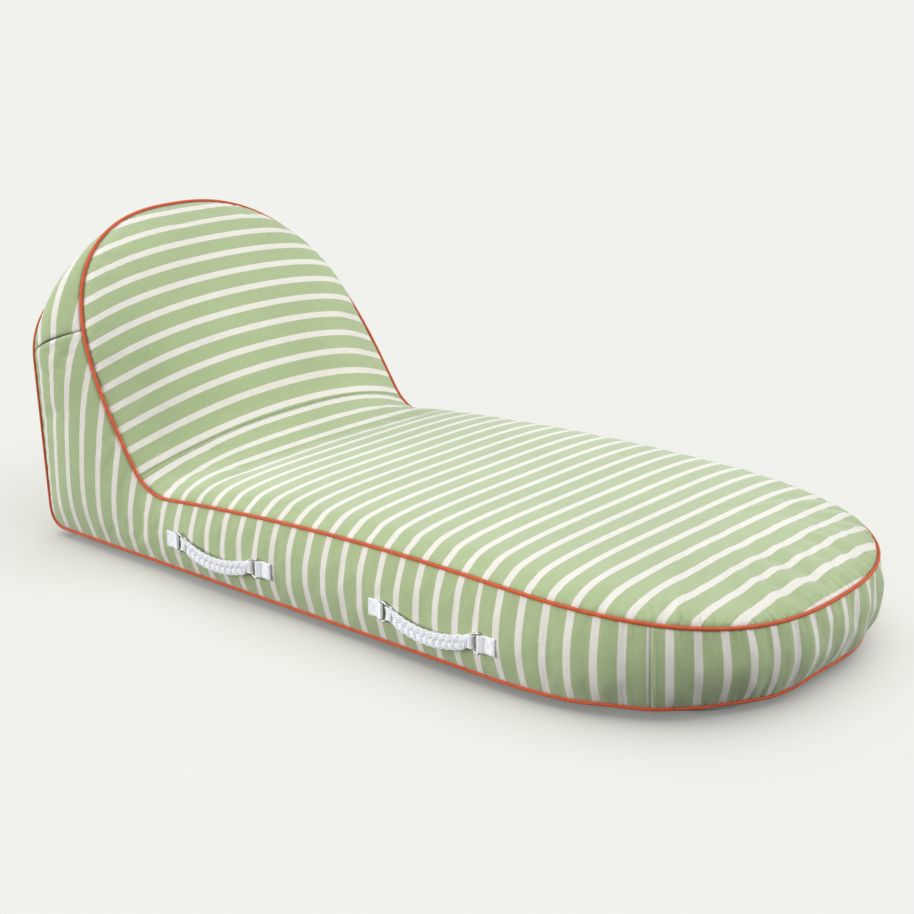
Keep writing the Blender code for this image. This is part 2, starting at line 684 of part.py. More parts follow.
def base_chamber():
    rings = []
    low = CHAMBER_CLEAR
    side = LOW_HALF - BASE_SIDE_CLEAR
    for x in (BASE_REAR, 0.045, 0.10, CREASE_X + 0.03, 0.44, 0.70, 1.00, 1.25):
        high = BASE_TOP if x < CREASE_X + 0.04 else top_z(x) + SEAT_CROWN * CROWN_FILL - CHAMBER_CLEAR - 0.004
        if x == BASE_REAR:
            rings.append(rounded_ring(x, side - 0.06, 0.060, 0.120))
        elif x == 0.045:
            rings.append(rounded_ring(x, side - 0.02, 0.028, 0.140))
        else:
            rings.append(rounded_ring(x, side, low, high))
    for i in range(1, 8):
        along, across = quarter(1 - i / 8, LOW_FOOT_DEPTH, side, LOW_POWER)
        x = LOW_FOOT_X - LOW_FOOT_DEPTH + along - 0.012
        tight = 0.030 * (i / 8) ** 3
        rings.append(rounded_ring(x, across, low + tight, top_z(x) + SEAT_CROWN * 0.6 - 0.012 - tight))
    return chamber("base_air_chamber", rings, (BASE_REAR, 0.12, 0.090), (-1, 0, 0))


def head_chamber():
    rings = []
    for i in range(7):
        z = BASE_TOP + HEAD_FLOOR_GAP + HEAD_HEIGHT * i / 6
        s = (z - LOW_Z) / math.sin(BACK_LEAN)
        rear = up_the_back(min(s, 0.56), 0).x + 0.010
        t = (z - top_z(CREASE_X)) / math.sin(FACE_SLOPE)
        front = up_the_face(max(t, 0), 0).x - 0.016
        swell = FACE_CROWN * 0.6 * max(0, 1 - (t / FACE_LENGTH) ** 2) * min(1, max(t, 0) / 0.15)
        u = min(max((t - FACE_LENGTH + FACE_ARCH) / FACE_ARCH, 0), 0.96)
        half = (TOP_HALF - HEAD_SIDE_CLEAR) * (1 - u**ARCH_POWER) ** (1 / ARCH_POWER)
        b = min(max((s - BACK_HEIGHT + BACK_ARCH) / BACK_ARCH, 0), 0.93)
        half = min(half, (LOW_HALF - HEAD_SIDE_CLEAR) * (1 - b**ARCH_POWER) ** (1 / ARCH_POWER))
        rings.append(flat_ring(z, half, rear, front, swell))
    at = up_the_back(0.25, 0)
    return chamber("head_air_chamber", rings, (at.x + 0.010, 0.12, at.z), (-1, 0, 0))


def flat_ring(z, half, rear, front, swell, power=4, count=20):
    """A level section of the head chamber: a box with soft corners and a swollen front."""
    ring = []
    for i in range(count):
        angle = TAU * (i + 0.5) / count
        y = half * math.copysign(abs(math.cos(angle)) ** (2 / power), math.cos(angle))
        x = math.copysign(abs(math.sin(angle)) ** (2 / power), math.sin(angle))
        bulge = swell * max(x, 0) * (1 - abs(y / half) ** 2)
        ring.append(Vector(((rear + front) / 2 + x * (front - rear) / 2 + bulge, y, z)))
    return ring


def baffles():
    """Upright webs that hold the base chamber's top down to its floor."""
    for label, x in BAFFLES.items():
        high = top_z(x) + SEAT_CROWN * CROWN_FILL - CHAMBER_CLEAR - CHAMBER_WALL - BAFFLE_HIGH
        low = CHAMBER_CLEAR + CHAMBER_WALL + BAFFLE_LOW
        size = (BAFFLE_THICK, 2 * (LOW_HALF - BAFFLE_SIDE_CLEAR), high - low)
        at = (x - MID_X, 0, (high + low) / 2)
        box(f"base_baffle_{label}", size, at, Matrix.Identity(4), VINYL)


def turned(name, profile, frame, material, steps=24):
    """A turned piece: the profile's (radius, height) points about the frame's Z."""
    mesh = bpy.data.meshes.new(name)
    mesh.from_pydata([(r, 0, z) for r, z in profile], [(i, i + 1) for i in range(len(profile) - 1)], [])
    obj = place(name, mesh, material)
    obj.matrix_world = frame
    turn = obj.modifiers.new("turn", "SCREW")
    turn.steps = turn.render_steps = steps
    turn.use_merge_vertices, turn.merge_threshold = True, 0.0001
    return obj


def valve(label, at):
    """A two-part inflation valve: a base in the vinyl, a screw-in stem, and a cap over it."""
    middle = Vector(at) - Vector((MID_X, 0, 0))
    frame = Matrix.Translation(middle) @ Vector((-1, 0, 0)).to_track_quat("Z", "X").to_matrix().to_4x4()
    base_r, bore = VALVE_BASE_R, VALVE_STEM_R + GAP
    base = [(base_r + 0.004, 0.0018), (base_r + 0.004, 0.0006), (base_r, 0.0006), (base_r, -0.006)]
    base += [(bore, -0.006), (bore, 0.0018), (base_r + 0.004, 0.0018)]
    turned(f"{label}_valve_base", base, frame, VALVE_WHITE)
    stem = VALVE_STEM_R
    body = [(0, 0.0034), (stem + 0.002, 0.0034), (stem + 0.002, 0.0022), (stem, 0.0022)]
    turned(f"{label}_valve_stem", body + [(stem, -0.005), (0, -0.005)], frame, VALVE_WHITE)
    cap = VALVE_CAP_R
    top = [(0, 0.0062), (cap - 0.001, 0.0062), (cap, 0.0052), (cap, 0.0024), (cap - 0.0012, 0.0024)]
    turned(f"{label}_valve_cap", top + [(cap - 0.0012, 0.0038), (0, 0.0038)], frame, VALVE_WHITE)


# The lounger ------------------------------------------------------------------------------

seat_panel()
head_face_panel()
foot_band()
side_panels()
head_band()
back = back_panel()
bottom_panel()
piping()
zip_closure(back)
for side_name, side in (("right", -1), ("left", 1)):
    for place_name, middle_x in HANDLES.items():
        handle(side_name, side, place_name, middle_x)
base_chamber()
head_chamber()
baffles()
valve("base_air", (BASE_REAR, 0.12, 0.090))
valve("head_air", (up_the_back(0.25, 0).x + 0.010, 0.12, up_the_back(0.25, 0).z))
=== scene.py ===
import math

import bmesh
import bpy
import numpy as np
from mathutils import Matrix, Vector, geometry, kdtree, noise


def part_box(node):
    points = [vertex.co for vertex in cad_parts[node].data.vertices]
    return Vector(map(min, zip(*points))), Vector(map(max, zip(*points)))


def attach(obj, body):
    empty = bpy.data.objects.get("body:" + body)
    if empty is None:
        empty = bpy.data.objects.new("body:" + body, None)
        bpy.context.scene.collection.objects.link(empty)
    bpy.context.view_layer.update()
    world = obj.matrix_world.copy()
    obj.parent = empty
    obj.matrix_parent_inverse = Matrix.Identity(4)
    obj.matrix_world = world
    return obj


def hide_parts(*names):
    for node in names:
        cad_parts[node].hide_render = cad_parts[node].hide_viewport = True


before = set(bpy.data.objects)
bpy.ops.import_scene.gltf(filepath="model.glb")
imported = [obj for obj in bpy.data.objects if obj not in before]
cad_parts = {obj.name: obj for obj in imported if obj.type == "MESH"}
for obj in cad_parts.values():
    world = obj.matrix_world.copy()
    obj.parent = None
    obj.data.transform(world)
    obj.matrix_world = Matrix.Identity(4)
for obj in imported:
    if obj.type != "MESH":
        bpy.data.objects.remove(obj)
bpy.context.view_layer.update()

# The studio -----------------------------------------------------------------------------------
# A pale seamless floor under an even sky, with a wide soft lamp overhead and two lower ones, by
# the right side and beyond the foot, which leave the floor unlit. The camera stands off the
# right side of the foot.

FLOOR_SIZE, FLOOR_DROP = 90.0, 0.0004
SKY = (0.90, 0.95, 1.0)
SKY_STRENGTH = 0.55
LAMPS = (  # the way each one's light travels, its strength and how wide it looks
    ((-0.10, -0.15, -1.0), 0.94, 80),
    ((0.58, 0.78, -0.16), 3.50, 50),
    ((-0.74, -0.50, -0.38), 1.85, 50),
)
FLOOR_PAPER, FLOOR_BOUNCE, FLOOR_GLOW = (0.929, 0.911, 0.846), (0.16, 0.16, 0.155), 0.16
CAMERA_AT = (2.4037, -2.8551, 1.4599)
CAMERA_TURN = tuple(map(math.radians, (72.2223, 0.0, 40.2062)))
CAMERA_LENS = 70.72

scene = bpy.context.scene
scene.view_settings.view_transform = "Standard"
scene.frame_start = 1


def set_inputs(tree, made, inputs):
    """Sets a node's inputs; one that is given another node's output is linked to it."""
    for name, value in inputs.items():
        if isinstance(value, bpy.types.NodeSocket):
            tree.links.new(value, made.inputs[name])
        else:
            made.inputs[name].default_value = value


def node(tree, kind, inputs=None, **settings):
    made = tree.nodes.new("ShaderNode" + kind)
    for name, value in settings.items():
        setattr(made, name, value)
    set_inputs(tree, made, inputs or {})
    return made


def calc(tree, operation, *values):
    """The output of a Math node."""
    return node(tree, "Math", dict(enumerate(values)), operation=operation).outputs[0]


def material(name):
    """A new material: (material, node tree, Principled BSDF)."""
    made = bpy.data.materials.new(name)
    made.use_nodes = True
    return made, made.node_tree, made.node_tree.nodes["Principled BSDF"]


def bump(tree, height, distance, strength):
    """The normal that a height in metres gives."""
    return node(tree, "Bump", {"Height": height, "Distance": distance, "Strength": strength}).outputs[0]


sky = bpy.data.worlds.new("soft_sky")
scene.world = sky
sky.use_nodes = True
sky.node_tree.nodes["Background"].inputs["Color"].default_value = (*SKY, 1)
sky.node_tree.nodes["Background"].inputs["Strength"].default_value = SKY_STRENGTH

bpy.ops.object.select_all(action="DESELECT")
bpy.ops.mesh.primitive_plane_add(size=FLOOR_SIZE, location=(0, 0, -FLOOR_DROP))
floor = bpy.context.object
floor.name = "studio_floor"
paper, tree, shader = material("floor_paper")
dim = node(tree, "BsdfDiffuse", {"Color": (*FLOOR_BOUNCE, 1)})
set_inputs(tree, shader, {
    "Base Color": (*FLOOR_PAPER, 1), "Roughness": 0.95, "Emission Color": (*FLOOR_PAPER, 1),
    "Emission Strength": FLOOR_GLOW,
})
seen = node(tree, "MixShader", {
    0: node(tree, "LightPath").outputs["Is Camera Ray"], 1: dim.outputs[0], 2: shader.outputs[0],
})
tree.links.new(seen.outputs[0], tree.nodes["Material Output"].inputs["Surface"])
floor.data.materials.append(paper)

lamps = []
for travels, strength, width in LAMPS:
    bpy.ops.object.light_add(type="SUN")
    lamp = bpy.context.object
    lamp.rotation_euler = Vector(travels).to_track_quat("-Z", "Y").to_euler()
    lamp.data.energy, lamp.data.angle = strength, math.radians(width)
    lamps.append(lamp)
kept_off = bpy.data.collections.new("unlit_by_side_lamps")
kept_off.objects.link(floor)
kept_off.collection_objects[0].light_linking.link_state = "EXCLUDE"
for lamp in lamps[1:]:
    lamp.light_linking.receiver_collection = kept_off

camera_data = bpy.data.cameras.new("camera")
camera_data.sensor_width, camera_data.lens = 36.0, CAMERA_LENS
camera = bpy.data.objects.new("camera", camera_data)
camera.location, camera.rotation_euler = CAMERA_AT, CAMERA_TURN
scene.collection.objects.link(camera)
scene.camera = camera

# The seat -------------------------------------------------------------------------------------
# The top of the cover: one piece of striped canvas, sewn into the piping all round and to the
# headrest's face along the crease. Air swells it, and the curve of the foot gathers its edge.
# Lengths along X count from the lower rear corner, and REAR_X is where that corner lies.

LENGTH = 1.800  # of the lower seam, from its rear corner to the foot's tip
PIPING_R = 0.004
TUCK, SINK = 0.0026, 0.0012  # a panel's edge: inwards and down from the piping's middle
CLOTH = 0.0011  # its thickness

low_round, top_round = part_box("bottom_piping"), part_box("top_piping")
REAR_X = low_round[1].x - PIPING_R - LENGTH
TOP_TIP = top_round[1].x - PIPING_R - REAR_X
TOP_HALF = top_round[1].y - PIPING_R
TOP_DEPTH, TOP_POWER = 0.516, 2.61
CREASE_X, CREASE_FILLET, FACE_SLOPE = 0.344, 0.074, math.radians(124.2)
CREASE_END = 0.80  # how far up the piping's turn the crease meets it
CREASE_CROWN, CREASE_FORWARD = 0.072, 0.050  # how far its middle bows up, and to the foot
CREASE_EASE, SEAT_LEAN, FACE_LEAN = 0.150, math.radians(34), math.radians(46)
SEAT_CROWN, TIP_TAKE_UP = 0.040, 0.011
SPACING, FINE = 0.0075, 0.0042  # between a panel's mesh points, and where its seam gathers it
STRIPE_PITCH, WHITE_WIDTH, FIRST_STRIPE = 0.0498, 0.0152, 0.3595


def clamp(value, low=0.0, high=1.0):
    return min(max(value, low), high)


def smooth(low, high, value):
    share = clamp((value - low) / (high - low))
    return share * share * (3 - 2 * share)


def top_z(x):
    """The height of the upper seam along the seat."""
    return 0.212 + 0.0224 * (x - 1) - 0.0742 * (x - 1) ** 2


def quarter(share, depth, half, power):
    """A point on a superellipse's quarter: share 0 is its tip, share 1 is where its side starts."""
    angle = share * math.pi / 2
    return depth * math.cos(angle) ** (2 / power), half * math.sin(angle) ** (2 / power)


def half_at(along, depth, half, power):
    """Half the width of a superellipse's end at this distance past its straight sides."""
    return half * max(0.0, 1 - clamp(along / depth) ** power) ** (1 / power)


def evenly(points, count):
    """This many points at equal distances along a line of many points."""
    points = np.array(points, float)
    reach = np.concatenate([[0], np.cumsum(np.linalg.norm(np.diff(points, axis=0), axis=1))])
    wanted = np.linspace(0, reach[-1], count)
    return np.stack([np.interp(wanted, reach, points[:, k]) for k in range(points.shape[1])], axis=1)


def arch_outline(start, straight, depth, half, power):
    """The outline of a panel with two straight sides and a rounded end, from its square end on."""
    arc = [quarter(1 - i / 240, depth, half, power) for i in range(241)]
    side = [(start, half)] + [(straight + along, across) for along, across in arc]
    loop = side + [(x, -y) for x, y in side[-2::-1]]
    square = [(start, half * (1 - 2 * i / 60)) for i in range(61)]
    count = int(sum(math.dist(a, b) for a, b in zip(loop, loop[1:])) / FINE)
    return np.concatenate([evenly(loop, count), evenly(square[::-1], int(2 * half / FINE))[1:-1]])


def within(points, outline):
    """Which points lie inside a closed outline."""
    inside = np.zeros(len(points), bool)
    for (ax, ay), (bx, by) in zip(outline, np.roll(outline, -1, axis=0)):
        crosses = (ay > points[:, 1]) != (by > points[:, 1])
        if ay != by:
            inside ^= crosses & (points[:, 0] < (bx - ax) * (points[:, 1] - ay) / (by - ay) + ax)
    return inside


def tree_of(points):
    """A search tree of flat points."""
    found = kdtree.KDTree(len(points))
    for i, point in enumerate(points):
        found.insert(Vector((*point, 0)), i)
    found.balance()
    return found


def lattice(low, high, spacing):
    """Points of a triangular grid that fills a rectangle."""
    rows = []
    for j, y in enumerate(np.arange(low[1], high[1], spacing * 0.866)):
        xs = np.arange(low[0] + spacing / 2 * (j % 2), high[0], spacing)
        rows.append(np.stack([xs, np.full(len(xs), y)], axis=1))
    return np.concatenate(rows)


def cut_flat(outline, spacing, hole=None, fine_from=None):
    """An outline filled with an even triangle mesh, finer past fine_from: (flat points, triangles)."""
    low, high = outline.min(0), outline.max(0)
    if fine_from is None:
        inner = lattice(low, high, spacing)
    else:
        coarse = lattice(low, (fine_from - spacing / 2, high[1]), spacing)
        inner = np.concatenate([coarse, lattice((fine_from, low[1]), high, FINE)])
    inner = inner[within(inner, outline)]
    rings = [outline] if hole is None else [outline, hole]
    if hole is not None:
        inner = inner[~within(inner, hole)]
    edges = tree_of(np.concatenate(rings))
    inner = [p for p in inner if edges.find(Vector((*p, 0)))[2] > FINE * 0.7]
    points, seams = [], []
    for ring in rings:
        first = len(points)
        points += [Vector(p) for p in ring]
        seams += [(first + i, first + (i + 1) % len(ring)) for i in range(len(ring))]
    points += [Vector(p) for p in inner]
    flat, _, faces, *_ = geometry.delaunay_2d_cdt(points, seams, [], 1, 1e-7)
    if hole is not None:
        middles = np.array([sum((flat[i] for i in face), Vector((0, 0))) / 3 for face in faces])
        faces = [face for face, gone in zip(faces, within(middles, hole)) if not gone]
    return flat, faces


def new_piece(name, points, faces, pattern, skin, slot, *replaced, body="float"):
    """A piece from its points, faces and each point's place on the cloth, riding on its body."""
    mesh = bpy.data.meshes.new(name)
    mesh.from_pydata([tuple(p) for p in points], [], [tuple(f) for f in faces])
    layer = mesh.uv_layers.new(name="pattern")
    at = np.array([pattern[loop.vertex_index] for loop in mesh.loops], np.float32)
    layer.data.foreach_set("uv", at.ravel())
    mesh.materials.append(skin)
    mesh.shade_smooth()
    piece = bpy.data.objects.new(name, mesh)
    scene.collection.objects.link(piece)
    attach(piece, body)
    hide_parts(*replaced)
    return piece


def face_outwards(piece, outward):
    """Turns the faces over if the piece's middle face looks inwards."""
    mesh = piece.data
    face = mesh.polygons[len(mesh.polygons) // 2]
    if face.normal.dot(outward(face.center)) < 0:
        mesh.flip_normals()


def edge_points(mesh):
    """The points on a mesh's open edges."""
    shell = bmesh.new()
    shell.from_mesh(mesh)
    found = [v.index for v in shell.verts if v.is_boundary]
    shell.free()
    return found


def relax(piece, spare, push, cap, frames=10):
    """Air and spare cloth: the panel swells between its sewn edges by cap at most."""
    mesh = piece.data
    sewn = piece.vertex_groups.new(name="sewn")
    sewn.add(edge_points(mesh), 1.0, "REPLACE")
    cloth = piece.modifiers.new("air", "CLOTH")
    cloth.settings.vertex_group_mass = "sewn"
    cloth.settings.quality, cloth.settings.mass = 5, 0.25
    cloth.settings.tension_stiffness = cloth.settings.compression_stiffness = 12
    cloth.settings.shear_stiffness, cloth.settings.bending_stiffness = 5, 0.35
    cloth.settings.shrink_min = -spare
    cloth.settings.use_pressure = True
    cloth.settings.uniform_pressure_force = push
    cloth.settings.effector_weights.gravity = 0
    cloth.collision_settings.use_collision = False
    cloth.point_cache.frame_start, cloth.point_cache.frame_end = 1, frames
    rest = np.array([v.co for v in mesh.vertices])
    for step in range(1, frames + 1):
        scene.frame_set(step)
    graph = bpy.context.evaluated_depsgraph_get()
    settled = piece.evaluated_get(graph).to_mesh()
    moved = np.array([v.co for v in settled.vertices]) - rest
    piece.modifiers.remove(cloth)
    piece.vertex_groups.clear()
    scene.frame_set(1)
    length = np.linalg.norm(moved, axis=1)[:, None] + 1e-9
    moved *= cap * np.tanh(length / cap) / length
    mesh.vertices.foreach_set("co", (rest + moved).astype(np.float32).ravel())
    mesh.update()


def foot_pull(x):
    """How much the tight curve of the foot gathers the cloth, by distance along the lounger."""
    return smooth(1.33, 1.72, x)


def folds(reach, depth, seed, fine=0.0085, wide=0.055):
    """The gathers that run in from a seam, by distance along it and in from it."""
    short = noise.noise(Vector((reach / fine, depth / 0.10, seed)))
    crisp = math.copysign(abs(short) ** 0.7, short) * math.exp(-depth / 0.026)
    wave = noise.noise(Vector((reach / wide, depth / 0.30, seed + 7))) * math.exp(-depth / 0.13)
    return (0.0058 * crisp + 0.0165 * wave * smooth(0, 0.05, depth)) * smooth(0, 0.007, depth)


def gather(piece, reaches, depths, pulls, seed):
    """Raises and sinks a panel's points by the gathers at its seams, as hard as each one's pull."""
    mesh = piece.data
    normals = [v.normal.copy() for v in mesh.vertices]
    for vertex, normal, reach, depth, pull in zip(mesh.vertices, normals, reaches, depths, pulls):
        vertex.co += normal * folds(reach, depth, seed) * pull
    mesh.update()


def thicken(piece):
    """Gives a skin the cloth's thickness, inwards."""
    wall = piece.modifiers.new("cloth", "SOLIDIFY")
    wall.thickness, wall.offset = CLOTH, -1
    bpy.ops.object.select_all(action="DESELECT")
    bpy.context.view_layer.objects.active = piece
    piece.select_set(True)
    bpy.ops.object.modifier_apply(modifier=wall.name)


def bend(start, corner, end, share):
    """A point on the curve that rounds off a corner."""
    return (1 - share) ** 2 * start + 2 * share * (1 - share) * corner + share**2 * end


def piping_turn(share, across):
    """The upper seam where it turns up beside the crease: share 0 on the seat, 1 on the face."""
    corner = Vector((CREASE_X + REAR_X, across, top_z(CREASE_X)))
    start = corner + Vector((CREASE_FILLET, 0, top_z(CREASE_X + CREASE_FILLET) - corner.z))
    end = corner + CREASE_FILLET * Vector((math.cos(FACE_SLOPE), 0, math.sin(FACE_SLOPE)))
    return bend(start, corner, end, share)


def crease_point(v):
    """A point on the seam between the seat and the headrest's face, v from -1 to 1 across."""
    bow = 1 - abs(v) ** 2.4
    end = piping_turn(CREASE_END, (TOP_HALF - TUCK) * v)
    return end + Vector((CREASE_FORWARD * bow, 0, CREASE_CROWN * bow))


def eased(start, leave, end, arrive, share):
    """A point on the smooth curve between two points, by its directions and reaches there."""
    a, b = 2 * share**3 - 3 * share**2 + 1, share**3 - 2 * share**2 + share
    c, d = -2 * share**3 + 3 * share**2, share**3 - share**2
    return a * start + b * leave + c * end + d * arrive


def seat_half(x):
    return half_at(x - (TOP_TIP - TOP_DEPTH), TOP_DEPTH - TUCK, TOP_HALF - TUCK, TOP_POWER)


def seat_level(x, y):
    """A point of the seat's crowned skin, clear of the crease."""
    v = clamp(y / max(seat_half(x), 1e-4), -1, 1)
    near_tip = clamp((TOP_TIP - TUCK - x) / TOP_DEPTH)
    rise = SEAT_CROWN * (1 - (1 - near_tip) ** 3) ** 0.6
    return Vector((x + REAR_X, y, top_z(x) - SINK + rise * (1 - abs(v) ** 4) ** 0.42))


def seat_rise(v, share, y):
    """The seat's slope by the crease: share 0 is on the crease, share 1 on the level seat."""
    end = seat_level(CREASE_X + CREASE_EASE, y)
    leave = CREASE_EASE * Vector((math.cos(SEAT_LEAN), 0, -math.sin(SEAT_LEAN)))
    return eased(crease_point(v), leave, end, CREASE_EASE * Vector((1, 0, -0.02)), share)


def seat_point(x, y):
    """A point of the seat's skin: it rises to the crease, and its sides follow the piping."""
    share = (x - CREASE_X) / CREASE_EASE
    if share >= 1:
        return seat_level(x, y)
    half = TOP_HALF - TUCK
    v = clamp(y / half, -1, 1)
    turn = CREASE_FILLET / CREASE_EASE
    edge = piping_turn(CREASE_END * max(0, 1 - share / turn), half)
    if share > turn:
        edge.x += (share - turn) * CREASE_EASE
        edge.z = top_z(edge.x - REAR_X)
    return seat_rise(v, share, y) + (edge - seat_rise(1, share, half)) * abs(v) ** 8


def seat_pattern(x, y):
    """Stripes straight across, and drawn a little to the tip where the seam takes up the cloth."""
    return x - TIP_TAKE_UP * smooth(1.73, TOP_TIP, x) - FIRST_STRIPE, y


# Weave: warp and weft threads as a height, and the slubs that lighten and darken them.
weave_group = bpy.data.node_groups.new("plain_weave", "ShaderNodeTree")
for name, kind, way in (
    ("Vector", "NodeSocketVector", "INPUT"), ("Threads", "NodeSocketFloat", "INPUT"),
    ("Height", "NodeSocketFloat", "OUTPUT"), ("Slub", "NodeSocketFloat", "OUTPUT"),
):
    weave_group.interface.new_socket(name=name, in_out=way, socket_type=kind)
given = weave_group.nodes.new("NodeGroupInput")
result = weave_group.nodes.new("NodeGroupOutput")
threads = node(weave_group, "VectorMath", {0: given.outputs["Vector"]}, operation="SCALE")
weave_group.links.new(given.outputs["Threads"], threads.inputs["Scale"])
place = node(weave_group, "SeparateXYZ", {0: threads.outputs[0]})
warp = calc(weave_group, "SINE", calc(weave_group, "MULTIPLY", place.outputs[0], math.tau))
weft = calc(weave_group, "SINE", calc(weave_group, "MULTIPLY", place.outputs[1], math.tau))
crossing = calc(weave_group, "MULTIPLY_ADD", calc(weave_group, "MULTIPLY", warp, weft), 0.5, 0.5)
slubs = []
for stretch in ((0.9, 0.05, 1.0), (0.05, 0.9, 1.0)):
    along = node(weave_group, "Mapping", {"Vector": threads.outputs[0], "Scale": stretch})
    inputs = {"Vector": along.outputs[0], "Scale": 1.0, "Detail": 2.0}
    slubs.append(node(weave_group, "TexNoise", inputs).outputs["Fac"])
both = calc(weave_group, "ADD", *slubs)
weave_group.links.new(crossing, result.inputs["Height"])
weave_group.links.new(calc(weave_group, "MULTIPLY", both, 0.5), result.inputs["Slub"])


def weave(tree, threads_per_metre, place=None):
    """The weave group on a piece's own cloth coordinates, or on others: (coordinates, group node)."""
    if place is None:
        place = node(tree, "UVMap", uv_map="pattern").outputs["UV"]
    made = tree.nodes.new("ShaderNodeGroup")
    made.node_tree = weave_group
    set_inputs(tree, made, {"Vector": place, "Threads": threads_per_metre})
    return place, made


def blotches(tree, scale, detail=3.0):
    """Slow changes of tone over a piece, from 0 to 1."""
    place = node(tree, "TexCoord").outputs["Object"]
    return node(tree, "TexNoise", {"Vector": place, "Scale": scale, "Detail": detail}).outputs["Fac"]


def spread(tree, value, low, high, source=(0.0, 1.0)):
    """A value that runs between the source's two ends, moved to run from low to high."""
    inputs = {
        "Value": value, "From Min": source[0], "From Max": source[1], "To Min": low, "To Max": high,
    }
    return node(tree, "MapRange", inputs).outputs["Result"]


def mixed(tree, factor, first, second, blend="MIX"):
    """The colour between two, by a factor."""
    first, second = ((*c, 1) if isinstance(c, tuple) else c for c in (first, second))
    inputs = {0: factor, 6: first, 7: second}
    return node(tree, "Mix", inputs, data_type="RGBA", blend_type=blend).outputs[2]


def shaded(tree, colour, shade):
    """A colour made lighter or darker by a factor."""
    grey = node(tree, "CombineColor", {"Red": shade, "Green": shade, "Blue": shade}).outputs[0]
    return mixed(tree, 1.0, colour, grey, "MULTIPLY")


def canvas(name):
    """Yarn-dyed canvas: white stripes with a thin dark thread at each edge on sage green."""
    made, tree, shader = material(name)
    place, cloth = weave(tree, 760)
    across = node(tree, "SeparateXYZ", {0: place}).outputs[0]
    ragged = node(tree, "TexNoise", {"Vector": place, "Scale": 240.0, "Detail": 1.0}).outputs["Fac"]
    across = calc(tree, "ADD", across, spread(tree, ragged, -0.0005, 0.0005))
    turn = calc(tree, "FRACT", calc(tree, "ADD", calc(tree, "DIVIDE", across, STRIPE_PITCH), 0.5))
    off_middle = calc(tree, "ABSOLUTE", calc(tree, "SUBTRACT", turn, 0.5))
    away = calc(tree, "MULTIPLY", off_middle, STRIPE_PITCH)
    half = WHITE_WIDTH / 2
    white = spread(tree, away, 1.0, 0.0, (half - 0.0005, half + 0.0004))
    off_edge = calc(tree, "ABSOLUTE", calc(tree, "SUBTRACT", away, half + 0.0008))
    thread = spread(tree, off_edge, 1, 0, (0.0003, 0.0012))
    slub = spread(tree, cloth.outputs["Slub"], 0.90, 1.10, (0.3, 0.7))
    tone = spread(tree, blotches(tree, 5.0), 0.955, 1.035, (0.3, 0.7))
    shade = calc(tree, "MULTIPLY", slub, tone)
    green = mixed(tree, cloth.outputs["Slub"], (0.345, 0.437, 0.208), (0.392, 0.462, 0.258))
    edged = mixed(tree, calc(tree, "MULTIPLY", thread, 0.30), green, (0.42, 0.37, 0.27))
    colour = mixed(tree, white, edged, (0.728, 0.696, 0.622))
    set_inputs(tree, shader, {
        "Base Color": shaded(tree, colour, shade),
        "Roughness": spread(tree, cloth.outputs["Slub"], 0.80, 0.95),
        "Normal": bump(tree, cloth.outputs["Height"], 0.00012, 0.5), "Specular IOR Level": 0.25,
        "Sheen Weight": 0.40, "Sheen Roughness": 0.5,
    })
    return made


striped = canvas("striped_canvas")


def soft_panel(
    name, outline, surface, pattern, outward, seed, sim, hole=None, pull=None, fine_from=None,
):
    """A panel cut to an outline, laid on its swollen form, gathered at its seams and relaxed."""
    flat, faces = cut_flat(outline, SPACING, hole, fine_from)
    points = [surface(*p) for p in flat]
    piece = new_piece(name, points, faces, [pattern(*p) for p in flat], striped, "striped_cloth", name)
    face_outwards(piece, outward)
    near = tree_of(outline)
    found = [near.find(Vector((*p, 0))) for p in flat]
    step = math.dist(outline[0], outline[1])
    reaches, depths = [hit[1] * step for hit in found], [hit[2] for hit in found]
    gather(piece, reaches, depths, [0.1 + 0.9 * pull(p[0]) if pull else 0.1 for p in flat], seed)
    relax(piece, *sim)
    thicken(piece)
    return piece


seat_outline = arch_outline(CREASE_X, TOP_TIP - TOP_DEPTH, TOP_DEPTH - TUCK, TOP_HALF - TUCK, TOP_POWER)
seat = soft_panel(
    "seat_panel", seat_outline, seat_point, seat_pattern, lambda at: Vector((0, 0, 1)), 1.0,
    (0.006, 2.0, 0.005), pull=foot_pull, fine_from=1.60,
)

# The headrest's face ---------------------------------------------------------------------------
# The arched cushion front that the head leans on: the same canvas, its stripes level across the
# middle and drawn down towards the piping at both sides. It is sewn to the seat along the crease.

FACE_LENGTH, FACE_ARCH, ARCH_POWER = 0.667, 0.518, 2.46
FACE_CROWN, FACE_FIRST_STRIPE, FACE_BOW, FACE_EASE = 0.095, 0.0092, 0.034, 0.20
FACE_NORMAL = Vector((math.sin(FACE_SLOPE), 0, -math.cos(FACE_SLOPE)))


def up_the_face(s, across):
    """A point on the flat slope of the arch, at s from its lower end."""
    x = CREASE_X + REAR_X + s * math.cos(FACE_SLOPE)
    return Vector((x, across, top_z(CREASE_X) + s * math.sin(FACE_SLOPE)))


def face_half(s):
    return half_at(s - (FACE_LENGTH - FACE_ARCH), FACE_ARCH - TUCK, TOP_HALF - TUCK, ARCH_POWER)


def face_level(s, y):
    """A point of the face's swollen skin, clear of the crease."""
    v = clamp(y / max(face_half(s), 1e-4), -1, 1)
    swell = FACE_CROWN * (1 - clamp(s / (FACE_LENGTH - TUCK)) ** 2.8) ** 0.6
    full = smooth(0.10, 0.44, s)
    side = (1 - abs(v) ** (2.6 + 0.7 * full)) ** (1 - 0.52 * full)
    return up_the_face(s, y) + FACE_NORMAL * (swell * side - SINK)


